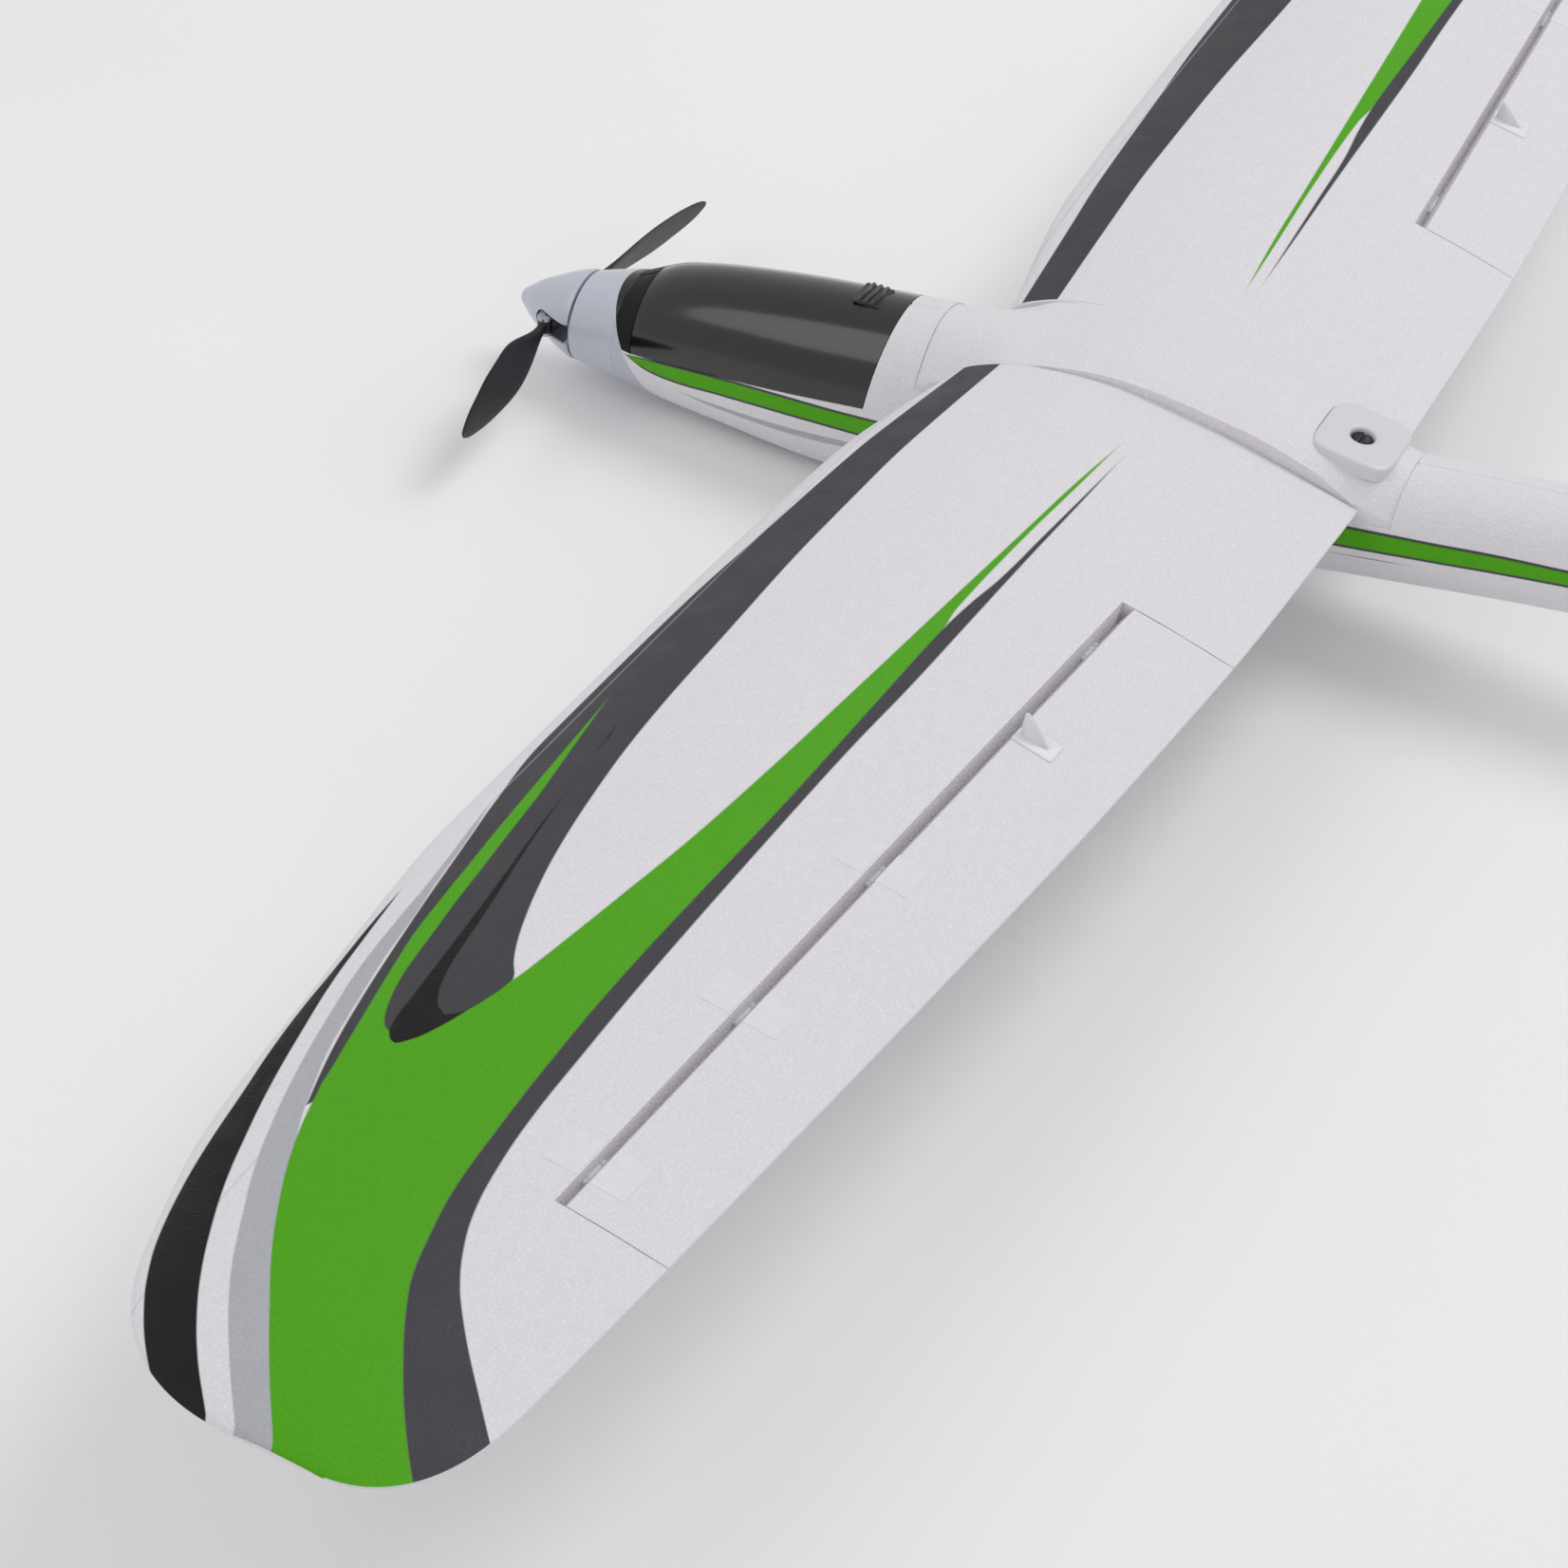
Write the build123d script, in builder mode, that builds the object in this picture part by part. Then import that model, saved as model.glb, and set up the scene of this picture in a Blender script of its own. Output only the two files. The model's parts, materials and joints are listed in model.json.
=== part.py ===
from build123d import *
from math import cos, radians, sin, tan
import os

# Electric foam sailplane, 1.5 m span: every piece is its own solid, in millimetres.
# +X points to the left wing tip, +Y to the tail and +Z up. The origin lies under the middle
# of the bounding box, on the plane that the belly rests on.

# ---- overall ----
HALF_SPAN = 750.0
NOSE_Y = -490.0            # spinner tip
TAIL_Y = 490.0             # rudder trailing edge
BOOM_END_Y = 430.0         # rear face of the fuselage, also the rudder's hinge line
FIN_TOP_Z = 278.0
RUNNING_FIT = 0.05         # radial clearance of pins and shafts
GAP = 0.5                  # clearance between a moving piece and its neighbour

# ---- fuselage ----
SHELL_WALL = 5.0           # foam thickness
SEAM = 0.4                 # gap round the hatch
POD_STATIONS = (           # y, centre height, half width, half height (always the larger)
    (-426.0, 36.5, 27.0, 27.1),
    (-405.0, 40.0, 30.5, 34.0),
    (-371.4, 42.5, 33.5, 39.5),
    (-321.4, 44.5, 36.5, 45.0),
    (-277.4, 47.0, 37.0, 47.5),
    (-248.4, 48.3, 36.5, 49.0),
    (-208.4, 48.5, 36.0, 46.5),
    (-168.4, 49.5, 35.0, 41.5),
    (-113.4, 53.2, 33.0, 34.7),
    (-77.4, 57.4, 31.0, 31.3),
    (-44.4, 60.8, 29.0, 29.6),
    (27.6, 69.8, 27.0, 27.8),
)
BOOM_FRACTIONS = (0.31, 0.66, 1.0)      # places of the boom's sections, from 0 at its front
BOOM_FRONT_Z = 69.8
BOOM_END_Z = 99.0
BOOM_FRONT_RADIUS = 27.4
BOOM_END_RADIUS = 13.0
BOOM_RISE = 0.30                        # how much of the rise comes early
BELLY_FLAT_Z = 1.2                      # thickness of the belly skid let into the foam
SKID_FRONT_Y = -345.0
SKID_REAR_Y = -222.0
SKID_WIDTH = 20.0

# ---- hatch ----
HATCH_FRONT_Y = -415.0
HATCH_REAR_LOW_Y = -290.0
HATCH_REAR_TOP_Y = -283.0
HATCH_FRONT_LOW_Z = 40.0
HATCH_REAR_LOW_Z = 55.3
HATCH_TOP_Z = 110.0                     # above the highest point of the shell
HATCH_WALL = 2.5
TONGUE_Z = 56.0                         # underside of the tongue at the hatch's front
TONGUE_HALF = 8.0
TONGUE_REACH = 6.0
TONGUE_ROOT = 5.0
TONGUE_THICKNESS = 2.0
LATCH_Y = -304.0
LATCH_LENGTH = 14.0
LATCH_WIDTH = 16.0
LATCH_TRAVEL = 5.0
LATCH_SEAT_Z = 90.4
LATCH_RIDGES = 3

# ---- nose ----
THRUST_Z = 33.0
SPINNER_RADIUS = 22.2
SPINNER_BASE_Y = -456.1
SPINNER_WALL = 1.2
BACKPLATE_THICKNESS = 2.4
COWL_FRONT_Y = -452.0
COWL_REAR_Y = POD_STATIONS[0][0]
COWL_WALL = 1.6
COWL_HOLE_RADIUS = 7.0
SPIGOT_LENGTH = 4.0
SHAFT_RADIUS = 2.0
MOTOR_RADIUS = 14.0
MOTOR_LENGTH = 34.0
MOUNT_THICKNESS = 3.0
STATOR_BASE = 6.0
BLADE_PIN_X = 18.0
BLADE_PIN_Y = -467.4
BLADE_PIN_RADIUS = 1.2
BLADE_BOSS_RADIUS = 3.6
BLADE_BOSS_HALF = 3.0
BLADE_STATIONS = (         # distance from the pin, chord, thickness, pitch
    (0.0, 5.0, 4.6, 36.0),
    (11.0, 6.4, 3.8, 34.0),
    (24.0, 14.0, 2.8, 28.0),
    (44.0, 21.5, 2.2, 22.0),
    (66.0, 20.0, 1.8, 17.0),
    (86.0, 14.0, 1.4, 13.0),
    (97.0, 8.0, 1.1, 11.0),
    (101.5, 3.0, 0.8, 10.0),
)
BLADE_REST_FOLD = 8.0
CHEEK_THICKNESS = 1.6
CHEEK_GAP = 0.3
HUB_RADIUS = 5.0

# ---- wing ----
ROOT_X = 31.0
RIB_THICKNESS = 1.6
ROOT_LE_Y = -248.4
ROOT_LE_Z = 83.0
DIHEDRAL = 3.65
INCIDENCE = 1.76
TRAILING_EDGE = 1.2
WING_STATIONS = (          # share of the panel's span, leading edge, trailing edge, thickness scale
    (0.0, 0.0, 195.0, 1.0),
    (0.138, -14.7, 195.0, 0.97),
    (0.334, -17.9, 190.5, 0.93),
    (0.565, -17.6, 180.0, 0.88),
    (0.724, -8.1, 171.5, 0.85),
    (0.841, 1.7, 165.0, 0.83),
    (0.905, 13.6, 161.0, 0.80),
    (0.955, 28.3, 156.0, 0.72),
    (0.984, 46.0, 146.0, 0.60),
    (0.9985, 82.0, 124.0, 0.50),
)
AIRFOIL = (                # chord share and height share of the airfoil, from tail over the nose
    (1.0, 0.003),
    (0.85, 0.044),
    (0.65, 0.088),
    (0.38, 0.118),
    (0.18, 0.096),
    (0.06, 0.056),
    (0.0, 0.0),
    (0.04, -0.019),
    (0.15, -0.028),
    (0.45, -0.026),
    (0.75, -0.014),
    (1.0, -0.003),
)
TAIL_AIRFOIL = (           # the same for the tail: symmetric
    (1.0, 0.006),
    (0.75, 0.031),
    (0.5, 0.044),
    (0.25, 0.044),
    (0.08, 0.029),
    (0.0, 0.0),
    (0.08, -0.029),
    (0.25, -0.044),
    (0.5, -0.044),
    (0.75, -0.031),
    (1.0, -0.006),
)
AILERON_INNER_X = 173.0
AILERON_TIP_MARGIN = 141.4
AILERON_INNER_CHORD = 50.2
AILERON_OUTER_CHORD = 43.0
HINGE_SLIT = 0.6           # wing face to the hinge axis
BEVEL = 30.0               # slope of the moving surface's nose
HORN_PLACE = 100.0         # from the aileron's inner end to its horn
JOINER_RADIUS = 5.0
JOINER_BORE = 4.0
JOINER_REACH = 240.0
JOINER_Y = -185.0
JOINER_Z = 92.0            # height at the root rib

# ---- centre fairing: y, side height, ridge height, half width ----
FAIRING_SEAT_Z = 71.0
FAIRING_STATIONS = (
    (-266.4, 72.0, 95.2, 32.0),
    (-250.0, 81.0, 97.0, 29.4),
    (-223.4, 98.0, 101.0, 29.4),
    (-168.4, 107.0, 110.5, 29.4),
    (-113.4, 101.0, 105.5, 29.4),
    (-77.4, 91.0, 98.0, 29.0),
    (-54.4, 78.0, 94.2, 27.5),
    (-38.4, 72.4, 91.0, 26.0),
)
BOLT_Y = -64.4
PLATE_WIDTH = 40.0
PLATE_LENGTH = 38.0
PLATE_TOP_Z = 96.4
PLATE_SLOPE = 8.0          # the plate leans with the falling rear of the fairing
PLATE_DEPTH = 7.0
PLATE_CORNER = 6.0
BOLT_HEAD_RADIUS = 4.8
BOLT_HEAD_HEIGHT = 3.5
BOLT_SHANK_RADIUS = 2.5
BOLT_LENGTH = 26.0

# ---- tail ----
FIN_ROOT_FRONT_Y = 318.0
FIN_TOP_FRONT_Y = 392.0
FIN_ROOT_Z = 104.0
RUDDER_BOTTOM_Z = 113.5
RUDDER_TOP_REAR_Y = 474.0
STAB_Z = 97.0
STAB_HALF_SPAN = 235.0
STAB_ROOT_FRONT_Y = 330.0
STAB_TIP_FRONT_Y = 374.0
ELEVATOR_HINGE_Y = BOOM_END_Y + 6.0
ELEVATOR_CHORD = 38.0
ELEVATOR_TIP_CHORD = 31.0
STAB_SPAR_RADIUS = 1.5
STAB_SPAR_HALF = 150.0
STAB_SPAR_Y = 378.0
FIN_SCALE = 0.75           # thickness of the tail's airfoils against the table
STAB_SCALE = 0.75

# ---- servos and linkages ----
SERVO_LENGTH = 23.0
SERVO_WIDTH = 12.0
SERVO_DEPTH = 22.5
SERVO_AXIS_INSET = 6.0     # shaft to the near end of the case
SERVO_BOSS = 4.5
SERVO_SHAFT_RADIUS = 2.0
ARM_THICKNESS = 1.6
ARM_GAP = 0.7              # boss to arm
HORN_ARM = 13.0
ROD_RADIUS = 0.8
ROD_BEND = 1.6
ROD_OFFSET = 1.7           # rod centre line beyond the arm's face
ROD_TAIL = 1.2             # how far the rod's end stands through an arm
HORN_PIVOT_FIT = 0.2
HORN_FEET = ((10.0, -2.0), (19.0, -1.5))
HORN_FOOT_RADIUS = 0.8
HORN_PLATE_WIDTH = 12.0
AILERON_ROD = (55.0, 3.5)  # from servo axis to hinge line, aft and up
RUDDER_ROD = (155.0, 0.0)
ELEVATOR_ROD = (135.0, 0.0)
REACH = (0.0, -HORN_ARM)   # from a hinge line or a servo axis to the rod's hole
ARM_ROOM = 16.0            # width of the slot that the aileron's servo arm swings in
RUDDER_SERVO_Z = 109.0
ELEVATOR_SERVO_X = 16.0

# ---- inside the pod ----
TRAY_FRONT_Y = -400.0
TRAY_REAR_Y = -195.0
TRAY_Z = 17.0
TRAY_WIDTH = 60.0          # trimmed to the shell
TRAY_THICKNESS = 2.0
BATTERY_SIZE = (34.0, 100.0, 24.0)
BATTERY_Y = -340.0
STRAP_WIDTH = 20.0
STRAP_THICKNESS = 1.2
ESC_SIZE = (26.0, 46.0, 8.0)
ESC_Y = -262.0
RECEIVER_SIZE = (24.0, 33.0, 11.0)
RECEIVER_Y = -217.0

# ---- pin hinges ----
PIN_RADIUS = 0.6
KNUCKLE_RADIUS = 1.3
KNUCKLE_RELIEF = 2.0
LEAF_THICKNESS = 0.9
LEAF_REACH = 10.0
LEAF_EDGE = 1.8            # from the pin to the fixed leaf
LEAF_HALF = 7.0
EYE_HALF = 3.9
EYE_GAP = 0.3


def save(solid, name):
    """Label one finished piece and write it."""
    solid.label = name
    export_step(solid, f"parts/{name}.step")


def blend(table, place, column):
    """Straight-line value of one column of a station table at a place."""
    for before, after in zip(table, table[1:]):
        if place <= after[0]:
            share = (place - before[0]) / (after[0] - before[0])
            return before[column] + share * (after[column] - before[column])
    return table[-1][column]


def slab(low, high):
    """Box between two corners."""
    with BuildPart() as block:
        with BuildSketch(Plane.XY.offset(low[2])):
            with Locations(((low[0] + high[0]) / 2, (low[1] + high[1]) / 2)):
                Rectangle(high[0] - low[0], high[1] - low[1])
        extrude(amount=high[2] - low[2])
    return block.part


# ---------------------------------------------------------------- fuselage


def boom_stations():
    """Sections of the boom behind the pod, as round sections."""
    front_y = POD_STATIONS[-1][0]
    stations = []
    for share in BOOM_FRACTIONS:
        rise = share + BOOM_RISE * share * (1 - share)
        radius = BOOM_FRONT_RADIUS + share * (BOOM_END_RADIUS - BOOM_FRONT_RADIUS)
        height = BOOM_FRONT_Z + rise * (BOOM_END_Z - BOOM_FRONT_Z)
        stations.append((front_y + share * (BOOM_END_Y - front_y), height, radius, radius + 0.1))
    return tuple(stations)


def fuselage_body(inset):
    """Loft through the sections of the pod and the boom, each drawn in by the inset."""
    with BuildPart() as body:
        for y, height, half_width, half_height in POD_STATIONS + boom_stations():
            with BuildSketch(Plane(origin=(0, y, height), x_dir=(1, 0, 0), z_dir=(0, -1, 0))):
                Ellipse(half_width - inset, half_height - inset)
        loft(ruled=True)
    return body.part


def hatch_region(clearance):
    """Side-view outline of the hatch, carried across the fuselage."""
    with BuildPart() as region:
        with BuildSketch(Plane.YZ):
            with BuildLine():
                Polyline(
                    (HATCH_FRONT_Y - clearance, HATCH_FRONT_LOW_Z - clearance),
                    (HATCH_REAR_LOW_Y + clearance, HATCH_REAR_LOW_Z - clearance),
                    (HATCH_REAR_TOP_Y + clearance, HATCH_TOP_Z),
                    (HATCH_FRONT_Y - clearance, HATCH_TOP_Z),
                    close=True,
                )
            make_face()
        extrude(amount=60, both=True)
    return region.part


outer_body = fuselage_body(0)
inner_body = fuselage_body(SHELL_WALL)
hatch_inner = fuselage_body(HATCH_WALL)


# ---------------------------------------------------------------- wing


def wing_place(x):
    """Leading edge, trailing edge and thickness scale of the left panel at a span place."""
    share = (x - ROOT_X) / (HALF_SPAN - ROOT_X)
    return tuple(blend(WING_STATIONS, share, column) for column in (1, 2, 3))


def wing_plane(x, leading):
    """Section plane: local x runs aft along the chord, local y up."""
    drop = tan(radians(INCIDENCE))
    height = ROOT_LE_Z + (x - ROOT_X) * tan(radians(DIHEDRAL)) - leading * drop
    return Plane(origin=(x, ROOT_LE_Y + leading, height), x_dir=(0, 1, -drop), z_dir=(1, 0, 0))


def airfoil(plane, chord, scale, table=AIRFOIL):
    """Closed airfoil face in a section plane, with a blunt trailing edge."""
    points = []
    for along, up in table:
        height = up * chord * scale
        if along == 1.0:
            height = TRAILING_EDGE / 2 if up > 0 else -TRAILING_EDGE / 2
        points.append((along * chord, height))
    with BuildSketch(plane) as section:
        with BuildLine():
            skin = Spline(*points)
            Line(skin @ 1, skin @ 0)
        make_face()
    return section.sketch


def wing_solid():
    """Whole left panel, before anything is cut from it."""
    with BuildPart() as panel:
        for share, leading, trailing, scale in WING_STATIONS:
            x = ROOT_X + share * (HALF_SPAN - ROOT_X)
            add(airfoil(wing_plane(x, leading), trailing - leading, scale))
        loft(ruled=True)
    return panel.part


def hinge_point(x, chord):
    """Point of the aileron's hinge line: the middle of the wing's thickness."""
    leading, trailing, scale = wing_place(x)
    whole = trailing - leading
    along = whole - chord
    upper = tuple(sorted((a, h) for a, h in AIRFOIL[:7]))
    lower = tuple(sorted((a, h) for a, h in AIRFOIL[6:]))
    middle = (blend(upper, along / whole, 1) + blend(lower, along / whole, 1)) / 2
    return wing_plane(x, leading).from_local_coords((along, middle * whole * scale, 0))


# ---------------------------------------------------------------- hinged surfaces


def hinge_plane(start, end, aft):
    """Plane square to a hinge line: local x aft, local z along the line, origin at its start."""
    line = (Vector(*end) - Vector(*start)).normalized()
    back = Vector(*aft)
    back = (back - line * back.dot(line)).normalized()
    return Plane(origin=tuple(start), x_dir=tuple(back), z_dir=tuple(line))


def hinge_region(plane, length, reach, moving, undercut=GAP):
    """Space behind a hinge line: bevelled for the moving surface, square for the fixed one."""
    half = 60.0
    slope = half * tan(radians(BEVEL))
    start_gap = 0 if moving else undercut
    end_gap = 0 if moving else GAP
    with BuildPart() as region:
        with BuildSketch(plane.offset(-start_gap)):
            with BuildLine():
                if moving:
                    corners = (GAP / 2, 0), (slope, half), (reach, half), (reach, -half), (slope, -half)
                    Polyline(*corners, close=True)
                else:
                    corners = (-HINGE_SLIT, half), (reach, half), (reach, -half), (-HINGE_SLIT, -half)
                    Polyline(*corners, close=True)
            make_face()
        extrude(amount=length + start_gap + end_gap)
    return region.part


def hinge_reliefs(plane, stations):
    """Round pockets that clear the knuckles at each hinge."""
    with BuildPart() as pockets:
        for station in stations:
            with BuildSketch(plane.offset(station - LEAF_HALF - EYE_GAP)):
                Circle(KNUCKLE_RELIEF)
            extrude(amount=2 * (LEAF_HALF + EYE_GAP))
    return pockets.part


def fixed_leaves(plane, stations):
    """Hinge leaves with two knuckles and the pin, set in the fixed surface."""
    lug = LEAF_HALF - EYE_HALF - EYE_GAP
    with BuildPart() as leaves:
        for station in stations:
            with BuildSketch(plane.offset(station - LEAF_HALF)):
                with Locations((-(LEAF_REACH + LEAF_EDGE) / 2, 0)):
                    Rectangle(LEAF_REACH - LEAF_EDGE, LEAF_THICKNESS)
            extrude(amount=2 * LEAF_HALF)
            for start in (-LEAF_HALF, LEAF_HALF - lug):
                with BuildSketch(plane.offset(station + start)):
                    Circle(KNUCKLE_RADIUS)
                    with Locations((-KNUCKLE_RELIEF / 2, 0)):
                        Rectangle(KNUCKLE_RELIEF, LEAF_THICKNESS)
                extrude(amount=lug)
            with BuildSketch(plane.offset(station - LEAF_HALF)):
                Circle(PIN_RADIUS)
            extrude(amount=2 * LEAF_HALF)
    return leaves.part


def moving_leaves(plane, stations):
    """Hinge leaves with one eye each, set in the moving surface."""
    with BuildPart() as leaves:
        for station in stations:
            with BuildSketch(plane.offset(station - EYE_HALF)):
                Circle(KNUCKLE_RADIUS)
                with Locations((LEAF_REACH / 2, 0)):
                    Rectangle(LEAF_REACH, LEAF_THICKNESS)
                Circle(PIN_RADIUS + RUNNING_FIT, mode=Mode.SUBTRACT)
            extrude(amount=2 * EYE_HALF)
    return leaves.part


def hinged_pair(whole, plane, length, reach, stations, undercut=GAP):
    """Split a surface at its hinge line; return fixed part, moving part and both leaf sets."""
    leaves = fixed_leaves(plane, stations)
    eyes = moving_leaves(plane, stations)
    reliefs = hinge_reliefs(plane, stations)
    with BuildPart() as fixed:
        add(whole)
        add(hinge_region(plane, length, reach, False, undercut), mode=Mode.SUBTRACT)
        add(reliefs, mode=Mode.SUBTRACT)
        add(leaves, mode=Mode.SUBTRACT)
    with BuildPart() as moving:
        add(whole)
        add(hinge_region(plane, length, reach, True), mode=Mode.INTERSECT)
        add(reliefs, mode=Mode.SUBTRACT)
        add(eyes, mode=Mode.SUBTRACT)
    return fixed.part, moving.part, leaves, eyes


# ---------------------------------------------------------------- servos and linkages


def servo_case(plane):
    """Servo with its shaft on the plane's normal; the case runs towards local -x."""
    middle = SERVO_AXIS_INSET - SERVO_LENGTH / 2
    with BuildPart() as case:
        with BuildSketch(plane):
            with Locations((middle, 0)):
                Rectangle(SERVO_LENGTH, SERVO_WIDTH)
        extrude(amount=-SERVO_DEPTH)
        with BuildSketch(plane):
            Circle(SERVO_AXIS_INSET - 0.3)
        extrude(amount=SERVO_BOSS)
        with BuildSketch(plane.offset(SERVO_BOSS)):
            Circle(SERVO_SHAFT_RADIUS)
        extrude(amount=ARM_GAP + ARM_THICKNESS)
    return case.part


def wing_servo_pocket(plane):
    """Room for a servo on its side and for its arm's swing, open through the lower skin."""
    depth = 60.0
    middle = SERVO_AXIS_INSET - SERVO_LENGTH / 2
    arm_room = arm_level() + ARM_THICKNESS + ROD_OFFSET + ROD_RADIUS + 2 * GAP
    shift = SERVO_WIDTH / 2 - depth / 2
    with BuildPart() as pocket:
        with BuildSketch(plane.offset(-SERVO_DEPTH)):
            with Locations((middle, shift)):
                Rectangle(SERVO_LENGTH, depth)
        extrude(amount=SERVO_DEPTH)
        with BuildSketch(plane):
            with Locations((0, shift)):
                Rectangle(ARM_ROOM, depth)
        extrude(amount=arm_room)
    return pocket.part


def boom_servo_pocket(plane):
    """Room for a servo let in from outside, along its shaft."""
    depth = 60.0
    middle = SERVO_AXIS_INSET - SERVO_LENGTH / 2
    with BuildPart() as pocket:
        with BuildSketch(plane.offset(-SERVO_DEPTH)):
            with Locations((middle, 0)):
                Rectangle(SERVO_LENGTH, SERVO_WIDTH)
        extrude(amount=depth)
    return pocket.part


def arm_level():
    """Height of the arm's underside over the servo's top face."""
    return SERVO_BOSS + ARM_GAP


def servo_arm(plane):
    """Arm from the servo's shaft to the rod's hole."""
    with BuildPart() as arm:
        with BuildSketch(plane.offset(arm_level())):
            Circle(SERVO_SHAFT_RADIUS + 1.6)
            with Locations(REACH):
                Circle(ROD_RADIUS + 1.3)
            make_hull()
            Circle(SERVO_SHAFT_RADIUS + RUNNING_FIT, mode=Mode.SUBTRACT)
            with Locations(REACH):
                Circle(ROD_RADIUS + RUNNING_FIT, mode=Mode.SUBTRACT)
        extrude(amount=ARM_THICKNESS)
    return arm.part


def pushrod(plane, span):
    """Wire from the arm's hole to the horn's hole, a bent end through each."""
    low = arm_level() - ROD_TAIL
    high = arm_level() + ARM_THICKNESS + ROD_OFFSET
    far = (REACH[0] + span[0], REACH[1] + span[1])
    corners = [
        plane.from_local_coords((*REACH, low)),
        plane.from_local_coords((*REACH, high)),
        plane.from_local_coords((*far, high)),
        plane.from_local_coords((*far, low)),
    ]
    with BuildPart() as rod:
        with BuildLine() as route:
            FilletPolyline(*corners, radius=ROD_BEND)
        with BuildSketch(Plane(origin=corners[0], z_dir=plane.z_dir)):
            Circle(ROD_RADIUS)
        sweep(path=route.wires()[0])
    return rod.part


def horn(plane, stem, plate, level):
    """Horn: an arm to the rod's hole, a stem through the surface and a base plate.

    stem and plate are closed outlines in the plane; the plate is wider than the arm.
    """
    with BuildPart() as piece:
        with BuildSketch(plane.offset(level)):
            with Locations(REACH):
                Circle(ROD_RADIUS + 1.5)
            with Locations(*HORN_FEET):
                Circle(HORN_FOOT_RADIUS)
            make_hull()
            with BuildLine():
                Polyline(*stem, close=True)
            make_face()
            with Locations(REACH):
                Circle(ROD_RADIUS + HORN_PIVOT_FIT, mode=Mode.SUBTRACT)
        extrude(amount=ARM_THICKNESS)
        with BuildSketch(plane.offset(level + ARM_THICKNESS / 2 - HORN_PLATE_WIDTH / 2)):
            with BuildLine():
                Polyline(*plate, close=True)
            make_face()
        extrude(amount=HORN_PLATE_WIDTH)
    return piece.part


os.makedirs("parts", exist_ok=True)


# ---------------------------------------------------------------- nose and propeller


def thrust_plane(y):
    """Plane square to the thrust line, its normal pointing aft."""
    return Plane(origin=(0, y, THRUST_Z), x_dir=(1, 0, 0), z_dir=(0, 1, 0))


def disc(y, length, radius, bore=0.0):
    """Round plate on the thrust line, with an optional bore."""
    with BuildPart() as plate:
        with BuildSketch(thrust_plane(y)):
            Circle(radius)
            if bore:
                Circle(bore, mode=Mode.SUBTRACT)
        extrude(amount=length)
    return plate.part


def cowl_shell(inset):
    """Round loft from the spinner to the pod; the inset draws it in."""
    stations = (
        (COWL_FRONT_Y, THRUST_Z, SPINNER_RADIUS + 0.3),
        ((COWL_FRONT_Y + COWL_REAR_Y) / 2, (THRUST_Z + POD_STATIONS[0][1]) / 2, 25.1),
        (COWL_REAR_Y, POD_STATIONS[0][1], POD_STATIONS[0][2]),
    )
    with BuildPart() as shell:
        for y, height, radius in stations:
            with BuildSketch(Plane(origin=(0, y, height), x_dir=(1, 0, 0), z_dir=(0, -1, 0))):
                Circle(radius - inset)
        loft()
    return shell.part


def cut(solid, *tools):
    """One solid less the tools."""
    with BuildPart() as result:
        add(solid)
        for tool in tools:
            add(tool, mode=Mode.SUBTRACT)
    return result.part


def common(solid, *others):
    """What one solid shares with all the others."""
    with BuildPart() as result:
        add(solid)
        for other in others:
            add(other, mode=Mode.INTERSECT)
    return result.part


def joined(*solids):
    """One piece made of touching solids."""
    with BuildPart() as result:
        for solid in solids:
            add(solid)
    return result.part


def cross_slab(front, rear):
    """Slab across the whole fuselage between two places along it."""
    return slab((-80, front, -40), (80, rear, 200))


mount_y = COWL_FRONT_Y + COWL_WALL
motor_y = mount_y + MOUNT_THICKNESS
motor_rear_y = motor_y + MOTOR_LENGTH
spigot_radius = POD_STATIONS[0][2] - SHELL_WALL
spigot_bore = spigot_radius - 2.4
spigot_centre = (0, COWL_REAR_Y - COWL_WALL, POD_STATIONS[0][1])
spigot_plane = Plane(origin=spigot_centre, x_dir=(1, 0, 0), z_dir=(0, 1, 0))

cowl_hollow = common(cowl_shell(COWL_WALL), cross_slab(mount_y, COWL_REAR_Y - COWL_WALL))
with BuildPart() as nose_cowl:
    add(cowl_shell(0))
    add(cowl_hollow, mode=Mode.SUBTRACT)
    with BuildSketch(spigot_plane):
        Circle(spigot_radius - 0.1)
    extrude(amount=COWL_WALL + SPIGOT_LENGTH)
    with BuildSketch(spigot_plane):
        Circle(spigot_bore)
    extrude(amount=COWL_WALL + SPIGOT_LENGTH, mode=Mode.SUBTRACT)
    with BuildSketch(thrust_plane(COWL_FRONT_Y)):
        Circle(COWL_HOLE_RADIUS)
    extrude(amount=COWL_WALL, mode=Mode.SUBTRACT)
save(nose_cowl.part, "nose_cowl")

with BuildPart() as motor_mount:
    with BuildSketch(thrust_plane(mount_y)):
        Circle(SPINNER_RADIUS - COWL_WALL - 1.0)
        Circle(COWL_HOLE_RADIUS - 1.5, mode=Mode.SUBTRACT)
    extrude(amount=MOUNT_THICKNESS)
save(motor_mount.part, "motor_mount")

with BuildPart() as motor_stator:
    with BuildSketch(thrust_plane(motor_y)):
        Circle(MOTOR_RADIUS - 0.5)
        Circle(SHAFT_RADIUS + RUNNING_FIT, mode=Mode.SUBTRACT)
    extrude(amount=STATOR_BASE)
    with BuildSketch(thrust_plane(motor_y + STATOR_BASE)):
        Circle(MOTOR_RADIUS - 3.0)
        Circle(SHAFT_RADIUS + RUNNING_FIT, mode=Mode.SUBTRACT)
    extrude(amount=MOTOR_LENGTH - STATOR_BASE - 5.0)
save(motor_stator.part, "motor_stator")

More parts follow.
